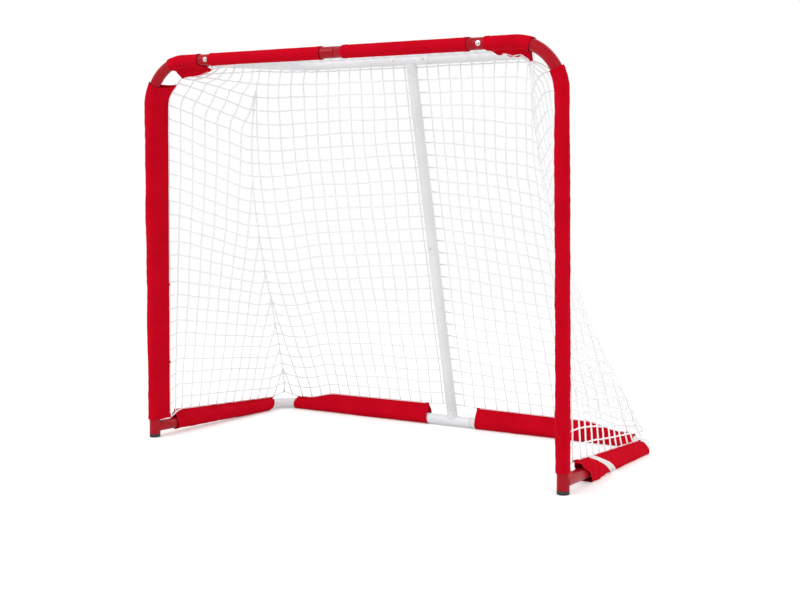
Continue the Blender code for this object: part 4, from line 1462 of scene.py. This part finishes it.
low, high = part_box("strap_snap")
wanted = (low + high) / 2
nearest = min((i / 200 for i in range(201)), key=lambda t: (strap_point(0, t)[0] - wanted).length)
on_strap = strap_point(0, nearest)[0]
outward = SLEEVES["right_base"].stitch_at(STRAP_SHARE, nearest, 0.0, 0.0)[2].normalized()
cap = snap_cap(on_strap + outward * STRAP_THICK, outward)
dressed(cap, NICKEL, "frame", "strap_snap")
print("snap is", round((on_strap - wanted).length * 1000, 1), "mm from its place")

# %% [markdown]
# ## Springs
# The V springs are hidden inside the tubes. Their shape in the construction model is the real one,
# so they stay and only get their steel.

# %% Finishes for the pieces that stay
springs = [node for name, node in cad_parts.items() if name.startswith("spring_")]
for node in springs:
    node.data.materials.clear()
    node.data.materials.append(SPRING_STEEL)
print(len(springs), "springs")

# %% [markdown]
# ## Light and floor
# The picture has even studio light from above and in front, on white. A pale floor catches the
# shadow. Camera rays that miss the goal see a white world, and so do reflections, while the light
# that the world gives stays at a plain level.

# %% Floor, world and lamps
WHITE = (1.0, 1.0, 1.0, 1.0)
WORLD_LIGHT = 0.62
FLOOR_SIZE = 16.0
FLOOR_SOLID = 2.2
FLOOR_GONE = 6.0
FLOOR_GLOW = 0.28


def seen_rays(tree):
    """1 for rays from the camera, and for what metal and glass show."""
    seen = add_node(tree, "LightPath", "Is Camera Ray")
    rays = seen.node.outputs
    for kind in ("Is Glossy Ray", "Is Transmission Ray"):
        seen = add_node(tree, "Math", "Value", {0: seen, 1: rays[kind]}, operation="MAXIMUM")
    return seen


world = bpy.data.worlds.new("studio")
bpy.context.scene.world = world
world.use_nodes = True
tree = world.node_tree
levels = {"Value": seen_rays(tree), "To Min": WORLD_LIGHT, "To Max": 1.0}
strength = add_node(tree, "MapRange", "Result", levels)
sky = tree.nodes["Background"].inputs
sky["Color"].default_value = WHITE
tree.links.new(strength, sky["Strength"])

deselect()
bpy.ops.mesh.primitive_grid_add(x_subdivisions=8, y_subdivisions=8, size=FLOOR_SIZE)
floor = settle(bpy.context.object, "floor")
pale = {"Roughness": 0.9, "Base_Color": linear("F2F2F2"), "Specular_IOR_Level": 0.0}
floor_paint, tree, shader = new_finish("pale_studio_floor", **pale)
lit = shader.outputs["BSDF"]
glow = add_node(tree, "Emission", "Emission", {"Color": WHITE, "Strength": FLOOR_GLOW})
both = add_node(tree, "AddShader", "Shader", {0: lit, 1: glow})
seen = add_node(tree, "MixShader", "Shader", {"Fac": seen_rays(tree), 1: lit, 2: both})
place = add_node(tree, "TexCoord", "Object")
limits = {
    "Value": add_node(tree, "VectorMath", "Value", {0: place}, operation="LENGTH"),
    "From Min": FLOOR_SOLID, "From Max": FLOOR_GONE,
}
fade = add_node(tree, "MapRange", "Result", limits, interpolation_type="SMOOTHSTEP")
clear = add_node(tree, "BsdfTransparent", "BSDF", {"Color": WHITE})
faded = add_node(tree, "MixShader", "Shader", {"Fac": fade, 1: seen, 2: clear})
tree.links.new(faded, tree.nodes["Material Output"].inputs["Surface"])
floor.data.materials.append(floor_paint)


def lamp(name, place, aim, size, power):
    """A soft square lamp that points at a place."""
    bpy.ops.object.light_add(type="AREA", location=place)
    made = bpy.context.object
    made.name = name
    made.data.shape = "SQUARE"
    made.data.size = size
    made.data.energy = power
    made.visible_camera = False
    made.rotation_mode = "QUATERNION"
    made.rotation_quaternion = (Vector(aim) - Vector(place)).to_track_quat("-Z", "Y")


lamp("key", (-2.4, -3.6, 4.2), (0, 0, 0.5), 3.0, 120)
lamp("fill", (4.2, -2.2, 2.8), (0.2, 0, 0.5), 3.0, 60)
lamp("back", (0.5, 4.0, 3.6), (0, 0, 0.5), 3.0, 50)
lamp("low", (1.40, 0.22, 0.42), (0.66, 0.02, 0.03), 0.3, 0.8)
bpy.context.scene.view_settings.view_transform = "Standard"
